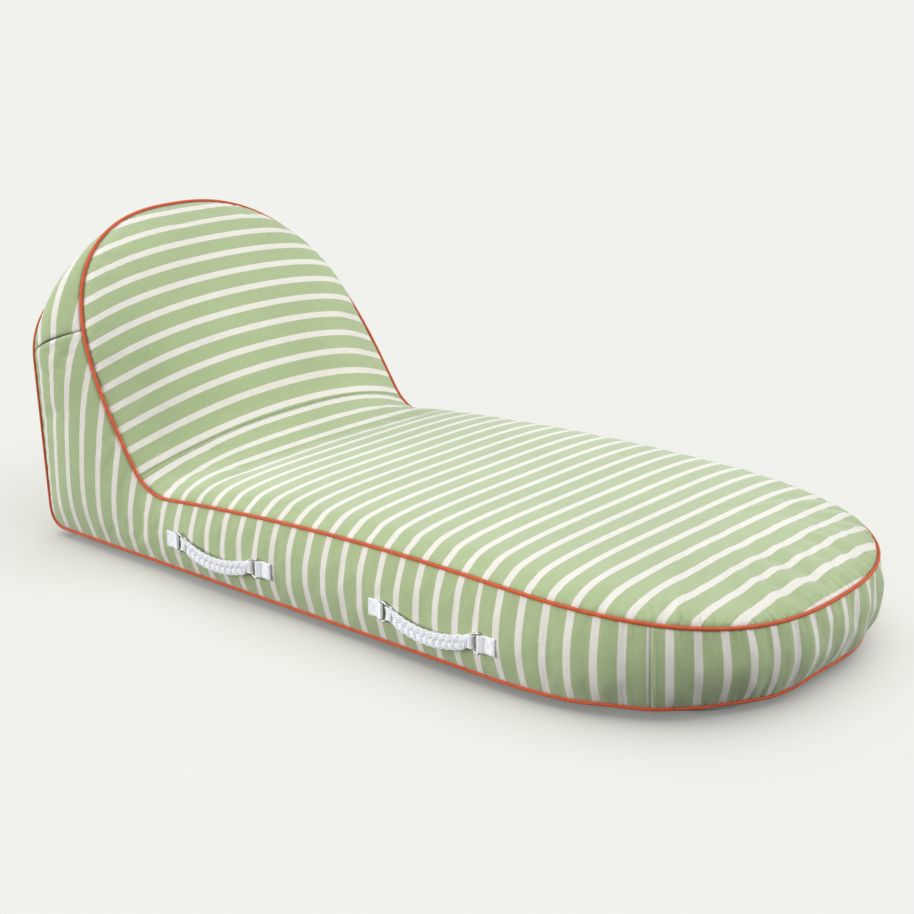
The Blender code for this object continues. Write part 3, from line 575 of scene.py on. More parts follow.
def face_rise(v, share, y):
    """The face's slope by the crease: share 0 is on the crease, share 1 clear of it."""
    leave = FACE_EASE * Vector((-math.cos(FACE_LEAN), 0, math.sin(FACE_LEAN)))
    arrive = (face_level(FACE_EASE + 0.002, y) - face_level(FACE_EASE, y)) * (FACE_EASE / 0.002)
    return eased(crease_point(v), leave, face_level(FACE_EASE, y), arrive, share)


def face_point(s, y):
    """A point of the face's skin: it grows out of the crease, and its sides follow the piping."""
    share = s / FACE_EASE
    if share >= 1:
        return face_level(s, y)
    half = face_half(s)
    v = clamp(y / half, -1, 1)
    edge = up_the_face(s, half)
    if s < CREASE_FILLET:
        edge = piping_turn(CREASE_END + (1 - CREASE_END) * s / CREASE_FILLET, half)
    across = v * face_half(FACE_EASE)
    gap = edge - face_rise(1, share, face_half(FACE_EASE))
    point = face_rise(v, share, across) + gap * abs(v) ** 8
    return Vector((point.x, y, point.z))


def face_pattern(s, y):
    """Stripes level up the slope and bowed in the middle, where the face swells."""
    if s < FACE_EASE:
        rise = face_point(s, y) - up_the_face(0, y)
        s = rise.x * math.cos(FACE_SLOPE) + rise.z * math.sin(FACE_SLOPE)
    return s - FACE_FIRST_STRIPE - FACE_BOW * (1 - (y / TOP_HALF) ** 2), y


face_outline = arch_outline(0.0, FACE_LENGTH - FACE_ARCH, FACE_ARCH - TUCK, TOP_HALF - TUCK, ARCH_POWER)
face = soft_panel(
    "head_face_panel", face_outline, face_point, face_pattern, lambda at: FACE_NORMAL, 2.0,
    (0.004, 2.0, 0.004),
)

# The boxing band -------------------------------------------------------------------------------
# The upright wall of the cover between its two rounds of piping. A foot piece runs round the
# toe, each side is one L-shaped piece that turns up beside the headrest, and a tapered head
# piece goes over the arch. Their stripes run up and down, and along the band over the head.

LOW_HALF, LOW_Z = low_round[1].y - PIPING_R, low_round[0].z + PIPING_R
LOW_DEPTH, LOW_POWER, LOW_LAG = 0.482, 2.45, 0.11
REAR_CORNER, BACK_X, BACK_LEAN = 0.050, 0.003, math.radians(93.4)
BACK_HEIGHT, BACK_ARCH, BAND_SWELL, HEAD_SWELL, SEAM_DENT = 0.600, 0.214, 0.048, 0.85, 0.0010
FOOT_SEAM_SHARE, HEAD_SEAM_TOP, HEAD_SEAM_LOW = 0.605, 0.475, 0.612
SEAM_GAP = 0.0001  # each side's share of a cross seam's gap
INSIDE = Vector((0.55 + REAR_X, 0, 0.12))  # every piece of the band faces away from here
FOOT_FIRST_STRIPE = 0.033  # from the foot seam to the first white stripe


def lump(point):
    """How the soft foot's lower edge shifts from its true line: the same for all that is sewn there."""
    x, y, z = point[0] - REAR_X, point[1], point[2]
    low = clamp((0.11 - z) / 0.09)
    pull = foot_pull(x) * low * low * (3 - 2 * low)
    rise = noise.noise(Vector((x * 9, y * 9, 3.1)))
    inwards = noise.noise(Vector((x * 8 + 5, y * 8, 8.4)))
    out = Vector((x - 1.2, y, 0)).normalized()
    return out * (0.006 * inwards * pull) + Vector((0, 0, (0.0060 * rise + 0.0055) * pull))


def up_the_back(s, across):
    """A point on the flat slope of the back, at s from the floor's seam."""
    along, up = s * math.cos(BACK_LEAN), s * math.sin(BACK_LEAN)
    return Vector((BACK_X + REAR_X + along, across, LOW_Z + up))


def top_head_line(count=400):
    """The upper seam on the right side, from the seat's end of the crease to the arch's top."""
    line = [piping_turn(i / 60, -TOP_HALF) for i in range(61)]
    for i in range(count):
        along, across = quarter(1 - i / (count - 1), FACE_ARCH, TOP_HALF, ARCH_POWER)
        line.append(up_the_face(FACE_LENGTH - FACE_ARCH + along, -across))
    return line


def low_head_line(count=400):
    """The lower seam on the right side, from below the crease round the corner to the back's top."""
    start = Vector((REAR_CORNER + REAR_X, -LOW_HALF, LOW_Z))
    corner, end = Vector((BACK_X + REAR_X, -LOW_HALF, LOW_Z)), up_the_back(REAR_CORNER, -LOW_HALF)
    line = [Vector((CREASE_X + CREASE_FILLET + REAR_X, -LOW_HALF, LOW_Z))]
    line += [bend(start, corner, end, i / 60) for i in range(61)]
    for i in range(count):
        along, across = quarter(1 - i / (count - 1), BACK_ARCH, LOW_HALF, ARCH_POWER)
        line.append(up_the_back(BACK_HEIGHT - BACK_ARCH + along, -across))
    return line


def foot_pair(share):
    """The upper and the lower seam's points at a share of the foot's quarter turn."""
    along, across = quarter(share, TOP_DEPTH, TOP_HALF, TOP_POWER)
    x = TOP_TIP - TOP_DEPTH + along
    low_share = share - LOW_LAG * share * (1 - share)
    low_along, low_across = quarter(low_share, LOW_DEPTH, LOW_HALF, LOW_POWER)
    low = Vector((LENGTH - LOW_DEPTH + low_along + REAR_X, -low_across, LOW_Z))
    return Vector((x + REAR_X, -across, top_z(x))), low


def foot_pairs(first, last):
    """Seam points evenly spaced round part of the right half of the foot."""
    fine = [foot_pair(first + (last - first) * i / 300) for i in range(301)]
    count = int(math.dist(fine[0][0], fine[-1][0]) * 1.2 / SPACING)
    both = evenly([(*top, *low) for top, low in fine], count)
    return [(Vector(row[:3]), Vector(row[3:])) for row in both]


def side_pairs():
    """Seam points along the straight right side, from the foot to the crease."""
    first, last = foot_pair(1), CREASE_X + CREASE_FILLET + REAR_X
    count = int((first[0].x - last) / SPACING)
    for i in range(1, count + 1):
        share = i / count
        x, low_x = (first[k].x + (last - first[k].x) * share for k in (0, 1))
        yield Vector((x, -TOP_HALF, top_z(x - REAR_X))), Vector((low_x, -LOW_HALF, LOW_Z))


def part_of(line, first, last, count):
    """Evenly spaced points between two shares of a line's length."""
    fine = evenly(line, 8001)
    return [Vector(p) for p in evenly(fine[round(first * 8000): round(last * 8000) + 1], count)]


def mirrored(pairs):
    return [tuple(Vector((p.x, -p.y, p.z)) for p in pair) for pair in pairs]


def band(name, pairs, count, pattern, seed, sim):
    """A piece of the band between pairs of seam points, swollen and gathered like a panel."""
    points, place, reaches, depths, pulls = [], [], [], [], []
    reach = 0.0
    middles = [(top + low) / 2 for top, low in pairs]
    total = sum((b - a).length for a, b in zip(middles, middles[1:]))
    for i, (top, low) in enumerate(pairs):
        if i:
            reach += (middles[i] - middles[i - 1]).length
        before, after = middles[max(i - 1, 0)], middles[min(i + 1, len(pairs) - 1)]
        normal = (after - before).cross(low - top).normalized()
        if normal.dot(middles[i] - INSIDE) < 0:
            normal = -normal
        width = (low - top).length
        full = BAND_SWELL * (1 + HEAD_SWELL * smooth(0.28, 0.56, middles[i].z))
        for j in range(count + 1):
            share = TUCK / width + j / count * (1 - 2 * TUCK / width)
            swell = full * math.sqrt(width) * 4 * share * (1 - share)
            dent = SEAM_DENT if i in (0, len(pairs) - 1) else 0
            point = top.lerp(low, share) + normal * (swell - SINK - dent)
            points.append(point + lump(point))
            place.append(pattern(point, reach, share, width))
            reaches.append(reach)
            depths.append(min(share, 1 - share) * width)
            calm = smooth(0, 0.05, min(reach, total - reach))
            pulls.append(calm * (0.1 + 0.9 * foot_pull(point.x - REAR_X)))
    across = count + 1
    faces = [
        (i * across + j, i * across + j + 1, (i + 1) * across + j + 1, (i + 1) * across + j)
        for i in range(len(pairs) - 1) for j in range(count)
    ]
    piece = new_piece(name, points, faces, place, striped, "striped_cloth", name)
    face_outwards(piece, lambda at: at - INSIDE)
    gather(piece, reaches, depths, pulls, seed)
    relax(piece, *sim)
    thicken(piece)
    return piece


def foot_pattern(p, reach, share, width):
    return reach - FOOT_FIRST_STRIPE, share * width


half_foot = foot_pairs(0.0, FOOT_SEAM_SHARE - SEAM_GAP)
foot = half_foot[:0:-1] + mirrored(half_foot)
foot_skin = band("foot_band", foot, 22, foot_pattern, 3.0, (0.012, 1.5, 0.005))

side_foot = foot_pairs(FOOT_SEAM_SHARE + SEAM_GAP, 1.0)
side_tops = part_of(top_head_line(), 0, HEAD_SEAM_TOP - SEAM_GAP, 64)
side_lows = part_of(low_head_line(), 0, HEAD_SEAM_LOW - SEAM_GAP, 64)
side = side_foot + list(side_pairs()) + list(zip(side_tops, side_lows))[1:]
turn_length = sum(
    (sum(b, Vector()) - sum(a, Vector())).length / 2 for a, b in zip(side_foot, side_foot[1:])
)
turn_start = (side_foot[-1][0].x + side_foot[-1][1].x) / 2 - REAR_X


def side_pattern(p, reach, share, width):
    """Stripes stand upright: by X along the straight side, and by the wall's length round the foot."""
    x = p.x - REAR_X
    if reach < turn_length:
        x = turn_start + turn_length - reach
    return x - FIRST_STRIPE, p.z


side_right = band("side_panel_right", side, 26, side_pattern, 4.0, (0.006, 1.5, 0.004))
side_left = band("side_panel_left", mirrored(side), 26, side_pattern, 5.0, (0.006, 1.5, 0.004))

head_tops = part_of(top_head_line(), HEAD_SEAM_TOP + SEAM_GAP, 1, 78)
head_lows = part_of(low_head_line(), HEAD_SEAM_LOW + SEAM_GAP, 1, 78)
right_head = list(zip(head_tops, head_lows))
whole_head = right_head + mirrored(right_head)[-2::-1]
seam_middle = (head_tops[0].x + head_lows[0].x) / 2 - REAR_X


def head_pattern(p, reach, share, width):
    """Stripes run along the band, in step with the side's at the seam between them."""
    return seam_middle + (0.5 - share) * width - FIRST_STRIPE, reach


head_skin = band("head_band", whole_head, 22, head_pattern, 6.0, (0.004, 1.5, 0.004))

# The back --------------------------------------------------------------------------------------
# The rear panel rises from a soft corner at the floor to the arch. A level slot near its foot
# is bound for the zip that lets the cover off its air chambers.

BACK_CROWN, BACK_CORNER = 0.030, REAR_CORNER + 0.010
ZIP_HALF, ZIP_SLOT, ZIP_LOW, ZIP_HIGH = 0.25, 0.0080, 0.095, 0.155
CORNER_RUN = BACK_CORNER * math.pi / 2
BACK_START = 0.038  # how far up the back's slope the corner's turn ends


def back_profile(s):
    """A point on the back's middle line at s along it, swollen to the rear."""
    swell = BACK_CROWN * math.sin(math.pi * clamp(s / BACK_HEIGHT)) ** 0.8
    return up_the_back(s, 0) - Vector((swell, 0, 0))


def back_half(t):
    past = t + BACK_START - (BACK_HEIGHT - BACK_ARCH)
    return half_at(past, BACK_ARCH - TUCK, LOW_HALF - TUCK, ARCH_POWER)


def back_point(t, y):
    """A point of the back's skin, t up from the end of the corner's turn."""
    centre = Vector((BACK_CORNER + REAR_X, 0, BACK_CORNER))
    if t < 0:
        angle = (1 + t / CORNER_RUN) * math.pi / 2
        middle = centre - BACK_CORNER * Vector((math.sin(angle), 0, math.cos(angle)))
        start = Vector((REAR_CORNER + REAR_X, 0, LOW_Z))
        corner = Vector((BACK_X + REAR_X, 0, LOW_Z))
        edge = bend(start, corner, up_the_back(REAR_CORNER, 0), 1 + t / CORNER_RUN)
    else:
        middle = back_profile(BACK_START + t)
        kink = centre.x - BACK_CORNER - back_profile(BACK_START).x
        middle.x += kink * clamp(1 - t / 0.05) ** 2
        edge = up_the_back(BACK_START + t + 0.012 * clamp(1 - t / 0.2), 0)
    v = clamp(y / max(back_half(t), 1e-4), -1, 1)
    point = middle.lerp(edge, clamp((abs(v) - 0.62) / 0.38) ** 2)
    return Vector((point.x, y, point.z))


zip_line = (ZIP_LOW + ZIP_HIGH) / 2 - LOW_Z - BACK_START
long, tall = ZIP_HALF + 0.003, ZIP_SLOT / 2
corners = [(-tall, -long), (tall, -long), (tall, long), (-tall, long)]
slot_sides = [
    evenly([a, b], max(2, int(math.dist(a, b) / SPACING) + 1))[:-1]
    for a, b in zip(corners, corners[1:] + corners[:1])
]
zip_slot = np.concatenate(slot_sides) + np.array([zip_line, 0])
back_straight = BACK_HEIGHT - BACK_ARCH - BACK_START
back_outline = arch_outline(-CORNER_RUN, back_straight, BACK_ARCH - TUCK, LOW_HALF - TUCK, ARCH_POWER)
back = soft_panel(
    "back_panel", back_outline, back_point, lambda t, y: (t, y), lambda at: Vector((-1, 0, 0)), 9.0,
    (0.002, 0.5, 0.0015), hole=zip_slot,
)

# The underside ---------------------------------------------------------------------------------
# Plain white coated cloth, flat on the floor and rolled up to the lower piping at its edge.

white_cloth, tree, shader = material("plain_white_cloth")
place, cloth = weave(tree, 900)
tone = spread(tree, blotches(tree, 9.0), 0.0, 1.0, (0.3, 0.7))
set_inputs(tree, shader, {
    "Base Color": mixed(tree, tone, (0.70, 0.73, 0.75), (0.78, 0.80, 0.81)),
    "Roughness": spread(tree, cloth.outputs["Slub"], 0.60, 0.85),
    "Normal": bump(tree, cloth.outputs["Height"], 0.0001, 0.4), "Specular IOR Level": 0.3,
})


def bottom_point(x, y):
    """A point of the underside: flat on the floor, and rolled up at the seam."""
    half = half_at(x - (LENGTH - LOW_DEPTH), LOW_DEPTH - TUCK, LOW_HALF - TUCK, LOW_POWER)
    v = clamp(abs(y) / max(half, 1e-4))
    tip = clamp(1 - (LENGTH - TUCK - x) / 0.13)
    roll = 1.35 + 2.6 * smooth(1.25, 0.35, x)
    point = Vector((x + REAR_X, y, LOW_Z * max(clamp((v - 0.8) / 0.2) ** roll, tip**1.35)))
    return point + lump(point) * clamp(point.z / LOW_Z)


bottom_outline = arch_outline(
    BACK_CORNER, LENGTH - LOW_DEPTH, LOW_DEPTH - TUCK, LOW_HALF - TUCK, LOW_POWER
)
flat, faces = cut_flat(bottom_outline, 0.012)
bottom = new_piece(
    "bottom_panel", [bottom_point(*p) for p in flat], faces, flat, white_cloth, "underside_cloth",
    "bottom_panel",
)
face_outwards(bottom, lambda at: Vector((0, 0, -1)))
thicken(bottom)

# The piping ------------------------------------------------------------------------------------
# A cord covered in orange bias-cut cloth is caught in each of the cover's two long seams.

PIPING_STEP, PIPING_SIDES, CORD_COVER = 0.006, 12, 0.0037


def tube_rings(line, radius, sides, closed=False):
    """Rings of points round a line: (points, quads, pattern), with each ring square to the line."""
    line = [Vector(p) for p in line]
    count = len(line)
    points, pattern, reach = [], [], 0.0
    side = None
    for i, at in enumerate(line):
        before = line[i - 1] if closed or i else at
        after = line[(i + 1) % count] if closed or i < count - 1 else at
        run = (after - before).normalized()
        if side is None:
            side = run.orthogonal().normalized()
        side = (side - run * side.dot(run)).normalized()
        lift = side.cross(run)
        for j in range(sides):
            angle = math.tau * j / sides
            points.append(at + side * (math.cos(angle) * radius) + lift * (math.sin(angle) * radius))
            pattern.append((reach, angle * radius))
        reach += (after - at).length
    faces = []
    for i in range(count if closed else count - 1):
        for j in range(sides):
            a, b = i * sides + j, i * sides + (j + 1) % sides
            c, d = (b + sides) % (count * sides), (a + sides) % (count * sides)
            faces.append((a, d, c, b))
    if not closed:
        faces.append(tuple(range(sides)))
        faces.append(tuple(reversed(range((count - 1) * sides, count * sides))))
    return points, faces, pattern


def joined(parts):
    """Several parts' points, faces and pattern as one."""
    points, faces, pattern = [], [], []
    for more_points, more_faces, more_pattern in parts:
        faces += [tuple(i + len(points) for i in face) for face in more_faces]
        points += more_points
        pattern += more_pattern
    return points, faces, pattern


def turn_outwards(piece):
    """Turns every face of a closed piece outwards."""
    shell = bmesh.new()
    shell.from_mesh(piece.data)
    bmesh.ops.recalc_face_normals(shell, faces=shell.faces)
    shell.to_mesh(piece.data)
    shell.free()
    piece.data.shade_smooth()


def tubes(name, lines, skin, slot, *replaced, **shape):
    """One piece from several tubes."""
    rings = joined(tube_rings(line, **shape) for line in lines)
    turn_outwards(new_piece(name, *rings, skin, slot, *replaced))


piping_cloth, tree, shader = material("orange_piping_cloth")
place = node(tree, "UVMap", uv_map="pattern").outputs["UV"]
bias = {"Vector": place, "Angle": math.radians(45)}
cloth = weave(tree, 900, node(tree, "VectorRotate", bias, rotation_type="Z_AXIS").outputs[0])[1]
tone = spread(tree, blotches(tree, 60.0), 0.0, 1.0, (0.3, 0.7))
rust = mixed(tree, tone, (0.525, 0.076, 0.017), (0.625, 0.102, 0.026))
fibres = spread(tree, cloth.outputs["Slub"], 0.85, 1.15, (0.3, 0.7))
set_inputs(tree, shader, {
    "Base Color": shaded(tree, rust, fibres),
    "Roughness": spread(tree, cloth.outputs["Slub"], 0.65, 0.85),
    "Normal": bump(tree, cloth.outputs["Height"], 0.0002, 0.6), "Specular IOR Level": 0.35,
    "Sheen Weight": 0.10,
})

foot_round = [foot_pair(i / 300) for i in range(301)]
straight = [Vector((x + REAR_X, -TOP_HALF, top_z(x)))
            for x in np.linspace(TOP_TIP - TOP_DEPTH, CREASE_X + CREASE_FILLET, 120)[1:-1]]
rounds = {
    "top_piping": [pair[0] for pair in foot_round] + straight + top_head_line(),
    "bottom_piping": [pair[1] for pair in foot_round] + low_head_line(),
}
for name, half in rounds.items():
    whole = half + [Vector((p.x, -p.y, p.z)) for p in half[-2:0:-1]]
    length = sum((b - a).length for a, b in zip(whole, whole[1:]))
    line = [Vector(p) + lump(p) for p in evenly(whole + whole[:1], int(length / PIPING_STEP))[:-1]]
    tubes(
        name, [line], piping_cloth, "piping_cloth", name,
        radius=CORD_COVER, sides=PIPING_SIDES, closed=True,
    )

# Topstitching ----------------------------------------------------------------------------------
# Each cross seam is a fold of one panel laid over the next and sewn down by rows of thread.

STITCH, STITCH_R = 0.0036, 0.00042

thread_skin, tree, shader = material("sewing_thread")
place = node(tree, "TexCoord").outputs["Object"]
banded = {"wave_type": "BANDS", "bands_direction": "DIAGONAL"}
twist = node(tree, "TexWave", {"Vector": place, "Scale": 900.0}, **banded).outputs["Fac"]
set_inputs(tree, shader, {
    "Base Color": mixed(tree, blotches(tree, 30.0), (0.30, 0.36, 0.20), (0.38, 0.42, 0.26)),
    "Roughness": spread(tree, twist, 0.6, 0.8), "Normal": bump(tree, twist, 0.0001, 0.5),
})


def finder(*panels):
    """A function that finds the nearest point of some panels' skins, and the way out of it."""
    def nearest(at):
        best = None
        for panel in panels:
            hit, spot, out, _ = panel.closest_point_on_mesh(at)
            if hit and (best is None or (spot - at).length < best[2]):
                best = (spot, out, (spot - at).length)
        return best[0], best[1]
    return nearest


def stitches(
    name, lines, nearest, outward,
    pitch=STITCH, radius=STITCH_R, skin=thread_skin, slot="striped_cloth",
):
    """Rows of stitches laid on the cloth: each dips into it at both ends."""
    points, faces, pattern = [], [], []
    for line in lines:
        length = sum(math.dist(a, b) for a, b in zip(line, line[1:]))
        even = [Vector(p) for p in evenly(line, int(length / pitch) * 2 + 1)]
        for a, b in zip(even[::2], even[1::2]):
            b = a + (b - a) * 1.5
            run = (b - a).normalized()
            middle, out = nearest((a + b) / 2)
            if out.dot(outward((a + b) / 2)) < 0:
                out = -out
            across = run.cross(out).normalized() * radius
            first = len(points)
            for at, lift in ((a, -0.4), (a.lerp(b, 0.25), 0.9), (a.lerp(b, 0.75), 0.9), (b, -0.4)):
                spot = nearest(at)[0]
                high = spot + out * (radius * lift)
                points += [high + across, high + out * radius, high - across]
                pattern += [(0, 0), (0, 0.0005), (0, 0.001)]
            for ring in range(3):
                for k in range(3):
                    i, j = first + ring * 3 + k, first + ring * 3 + (k + 1) % 3
                    faces.append((i, j, j + 3, i + 3))
            faces += [(first, first + 2, first + 1), (first + 9, first + 10, first + 11)]
    turn_outwards(new_piece(name, points, faces, pattern, skin, slot))


def away_from_middle(at):
    """The way out of the cover, roughly."""
    return at - Vector((at.x * 0.7, 0, 0.15))


across_crease = np.linspace(-TOP_HALF + 0.006, TOP_HALF - 0.006, 240)
crease_rows = [
    [seat_point(CREASE_X + 0.005, y) for y in across_crease],
    [face_point(0.004, y) for y in across_crease],
]
stitches("crease_topstitching", crease_rows, finder(seat, face), lambda at: Vector((0.6, 0, 0.8)))


def sew_across(name, rows, *skins):
    """Rows of stitches across the band, each between a pair of seam points."""
    nearest = finder(*skins)
    lines = []
    for top, low in rows:
        line = [top.lerp(low, share) for share in np.linspace(0.02, 0.98, 60)]
        lines.append([nearest(p + lump(p) + away_from_middle(p).normalized() * 0.02)[0] for p in line])
    stitches(name, lines, nearest, away_from_middle)


foot_rows = [foot_pair(FOOT_SEAM_SHARE - 0.0040), foot_pair(FOOT_SEAM_SHARE - 0.0165)]
head_rows = [(
    part_of(top_head_line(), HEAD_SEAM_TOP + 0.0035, 1, 2)[0],
    part_of(low_head_line(), HEAD_SEAM_LOW + 0.0035, 1, 2)[0],
)]
sew_across("foot_seam_topstitching_right", foot_rows, foot_skin, side_right)
sew_across("head_seam_topstitching_right", head_rows, head_skin, side_right)
sew_across("foot_seam_topstitching_left", mirrored(foot_rows), foot_skin, side_left)
sew_across("head_seam_topstitching_left", mirrored(head_rows), head_skin, side_left)

# The handles' tabs -----------------------------------------------------------------------------
# Eight loops of white webbing, each folded round the bar of its ring, with both ends sewn flat on
# the side of the cover by a square of stitches.

HANDLES = {"rear": 0.598, "front": 1.196}
HANDLE_Z, TAB_HEIGHT, RING_BAR_X, TAB_LENGTH = 0.098, 0.036, 0.124, 0.036
WEBBING, RING_WIRE, RING_DEPTH, RING_HALF, RING_POWER = 0.0016, 0.0020, 0.020, 0.0205, 2.4
RING_STAND, TAB_THICK = 0.0054, 0.0034
WALL_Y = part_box("handle_tab_left_rear_head_end")[0].y
PAINTED_GLOW = 0.06  # a faint painted glow that brightens the white webbing and cord

webbing, tree, shader = material("white_webbing")
place, cloth = weave(tree, 420)
fibres = spread(tree, cloth.outputs["Slub"], 0.92, 1.04, (0.3, 0.7))
set_inputs(tree, shader, {
    "Base Color": shaded(tree, (0.90, 0.90, 0.92), fibres), "Sheen Weight": 0.1,
    # painted glow: the webbing gives off a faint light of its own
    "Emission Color": (0.95, 0.97, 1.0, 1), "Emission Strength": PAINTED_GLOW,
    "Roughness": spread(tree, cloth.outputs["Slub"], 0.6, 0.8), "Specular IOR Level": 0.35,
    "Normal": bump(tree, cloth.outputs["Height"], 0.0004, 0.7),
})


def strap_line():
    """The webbing's middle line from above, from its outer end round the ring's bar to its inner."""
    round_bar = RING_WIRE + 0.0004 + WEBBING / 2
    turn = [
        (-round_bar * math.sin(a), RING_STAND + round_bar * math.cos(a))
        for a in np.linspace(-0.25, math.pi + 0.25, 25)
    ]
    outer = [
        (x, TAB_THICK - WEBBING / 2 + 0.0004 * math.sin(x * 260))
        for x in np.linspace(TAB_LENGTH, 0.0125, 14)
    ]
    inner = [(x, WEBBING / 2 - 0.0002) for x in np.linspace(0.0105, TAB_LENGTH, 14)]
    return evenly(outer + turn + inner, 72)


def on_the_side(along, out, z, middle_x, side, end):
    """A point beside a handle: along towards its end of the handle, out from the cover's wall."""
    x = middle_x + end * (RING_BAR_X + along) + REAR_X
    return Vector((x, side * (WALL_Y + out), z))


def webbing_tab(label, middle_x, side, end, seed):
    """A folded tab, and the lines of the stitches that hold it: (lines, tab)."""
    line = strap_line()
    runs = np.concatenate([[0], np.cumsum(np.linalg.norm(np.diff(line, axis=0), axis=1))])
    columns = 19
    normals = []
    for i in range(len(line)):
        run = line[min(i + 1, len(line) - 1)] - line[max(i - 1, 0)]
        run = run / np.linalg.norm(run)
        normals.append((-run[1], run[0]))
    points, place, faces = [], [], []
    for layer in (1, -1):
        for (along, out), (nx, ny), reach in zip(line, normals, runs):
            for j in range(columns):
                across = 2 * j / (columns - 1) - 1
                thin = WEBBING / 2 * (1 - 0.55 * abs(across) ** 8)
                if layer > 0:
                    thin += 0.00035 * noise.noise(Vector((reach * 160, across * 2.5, seed)))
                frayed = 0.012 * (1 + noise.noise(Vector((reach * 90, seed, across))))
                up = across * TAB_HEIGHT / 2 * (1 - frayed)
                a, o = along + nx * layer * thin, max(out + ny * layer * thin, 0.0001)
                points.append(on_the_side(a, o, HANDLE_Z + up, middle_x, side, end))
                place.append((reach, across * TAB_HEIGHT / 2))
    rows, size = len(line), len(line) * columns
    for i in range(rows - 1):
        for j in range(columns - 1):
            a, d = i * columns + j, (i + 1) * columns + j
            b, c = a + 1, d + 1
            faces += [(a, b, c, d), (a + size, d + size, c + size, b + size)]
        for j in (0, columns - 1):
            a, d = i * columns + j, (i + 1) * columns + j
            faces.append((a, d, d + size, a + size) if j == 0 else (a, a + size, d + size, d))
    for j in range(columns - 1):
        a = (rows - 1) * columns + j
        faces += [(j, j + size, j + 1 + size, j + 1), (a, a + 1, a + 1 + size, a + size)]
    name = f"handle_tab_{label}"
    tab = new_piece(name, points, faces, place, webbing, "white_webbing", name)
    turn_outwards(tab)
    high, near, far = TAB_HEIGHT / 2 - 0.003, 0.010, TAB_LENGTH - 0.003
    square = [(near, -high), (far, -high), (far, high), (near, high), (near, -high)]
    square += [(far, high), (far, -high), (near, high)]
    path = [on_the_side(a, TAB_THICK + 0.001, HANDLE_Z + up, middle_x, side, end) for a, up in square]
    lines = [[a.lerp(b, k / 12) for k in range(13)] for a, b in zip(path, path[1:])]
    return lines, tab


# The rings -------------------------------------------------------------------------------------
# Eight rings of thin satin nickel wire, flat on the side their webbing holds and round on the
# grip's side. Each one swings on its bar in the fold of its tab.

nickel, tree, shader = material("satin_nickel")
place = node(tree, "TexCoord").outputs["Object"]
fine = node(tree, "TexNoise", {"Vector": place, "Scale": 2200.0, "Detail": 3.0}).outputs["Fac"]
set_inputs(tree, shader, {
    "Base Color": mixed(tree, blotches(tree, 160.0), (0.50, 0.50, 0.50), (0.62, 0.61, 0.60)),
    "Metallic": 1.0,
    "Roughness": spread(tree, fine, 0.24, 0.40), "Normal": bump(tree, fine, 0.00004, 0.3),
})


def wire_ring(label, end_name, middle_x, side, end):
    """A ring of bevelled wire through points of its outline."""
    bpy.ops.object.select_all(action="DESELECT")
    bpy.ops.curve.primitive_bezier_circle_add(radius=1.0)
    wire = bpy.context.object
    spline = wire.data.splines[0]
    power = 2 / RING_POWER
    knots = []
    for a in np.linspace(-math.pi / 2, math.pi / 2, 17):
        up = math.copysign(abs(math.sin(a)) ** power, a)
        knots.append((RING_DEPTH * abs(math.cos(a)) ** power, RING_HALF * up))
    knots += [(0, RING_HALF * share) for share in (0.6, 0.2, -0.2, -0.6)]
    spline.bezier_points.add(len(knots) - 4)
    for knot, (along, up) in zip(spline.bezier_points, knots):
        knot.co = on_the_side(-along, RING_STAND, HANDLE_Z + up, middle_x, side, end)
        knot.handle_left_type = knot.handle_right_type = "AUTO"
    wire.location = (0, 0, 0)
    wire.data.dimensions, wire.data.bevel_depth = "3D", RING_WIRE
    wire.data.bevel_resolution, wire.data.resolution_u = 5, 6
    bpy.ops.object.convert(target="MESH")
    wire = bpy.context.object
    wire.name = f"wire_ring_{label}_{end_name}"
    wire.data.shade_smooth()
    wire.data.materials.clear()
    wire.data.materials.append(nickel)
    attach(wire, f"ring_{label}_{end_name}")
    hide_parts(f"d_ring_{label}_{end_name}")


# The grips -------------------------------------------------------------------------------------
# Four handles of white cord: three strands of three cords each are plaited flat, narrowed and
# whipped at both ends, and looped round the wires of the two rings.

GRIP_SAG, GRIP_BOW, GRIP_REACH = 0.020, 0.006, RING_BAR_X - RING_DEPTH
LOBE, CORD_R, WHIPPING_R, LOOP_R = 0.016, 0.00205, 0.0016, 0.0018
LOOP_LONG, LOOP_HALF, LOOP_PITCH = 0.0064, 0.0039, 0.0040

cord_skin, tree, shader = material("white_braided_cord")
place = node(tree, "UVMap", uv_map="pattern").outputs["UV"]
turns = node(tree, "Mapping", {"Vector": place, "Rotation": (0, 0, math.radians(32))}).outputs[0]
plies = {"Vector": turns, "Scale": 260.0, "Distortion": 0.6}
plied = node(tree, "TexWave", plies, wave_type="BANDS").outputs["Fac"]
fuzz = node(tree, "TexNoise", {"Vector": place, "Scale": 1500.0, "Detail": 2.0}).outputs["Fac"]
tone = calc(tree, "MULTIPLY", spread(tree, plied, 0.90, 1.03), spread(tree, fuzz, 0.94, 1.04))
set_inputs(tree, shader, {
    "Base Color": shaded(tree, (0.94, 0.945, 0.97), tone), "Roughness": spread(tree, fuzz, 0.55, 0.75),
    "Normal": bump(tree, plied, 0.0005, 0.6), "Specular IOR Level": 0.4, "Sheen Weight": 0.1,
    # painted glow: the cord gives off a faint light of its own
    "Emission Color": (0.95, 0.97, 1.0, 1), "Emission Strength": PAINTED_GLOW,
})


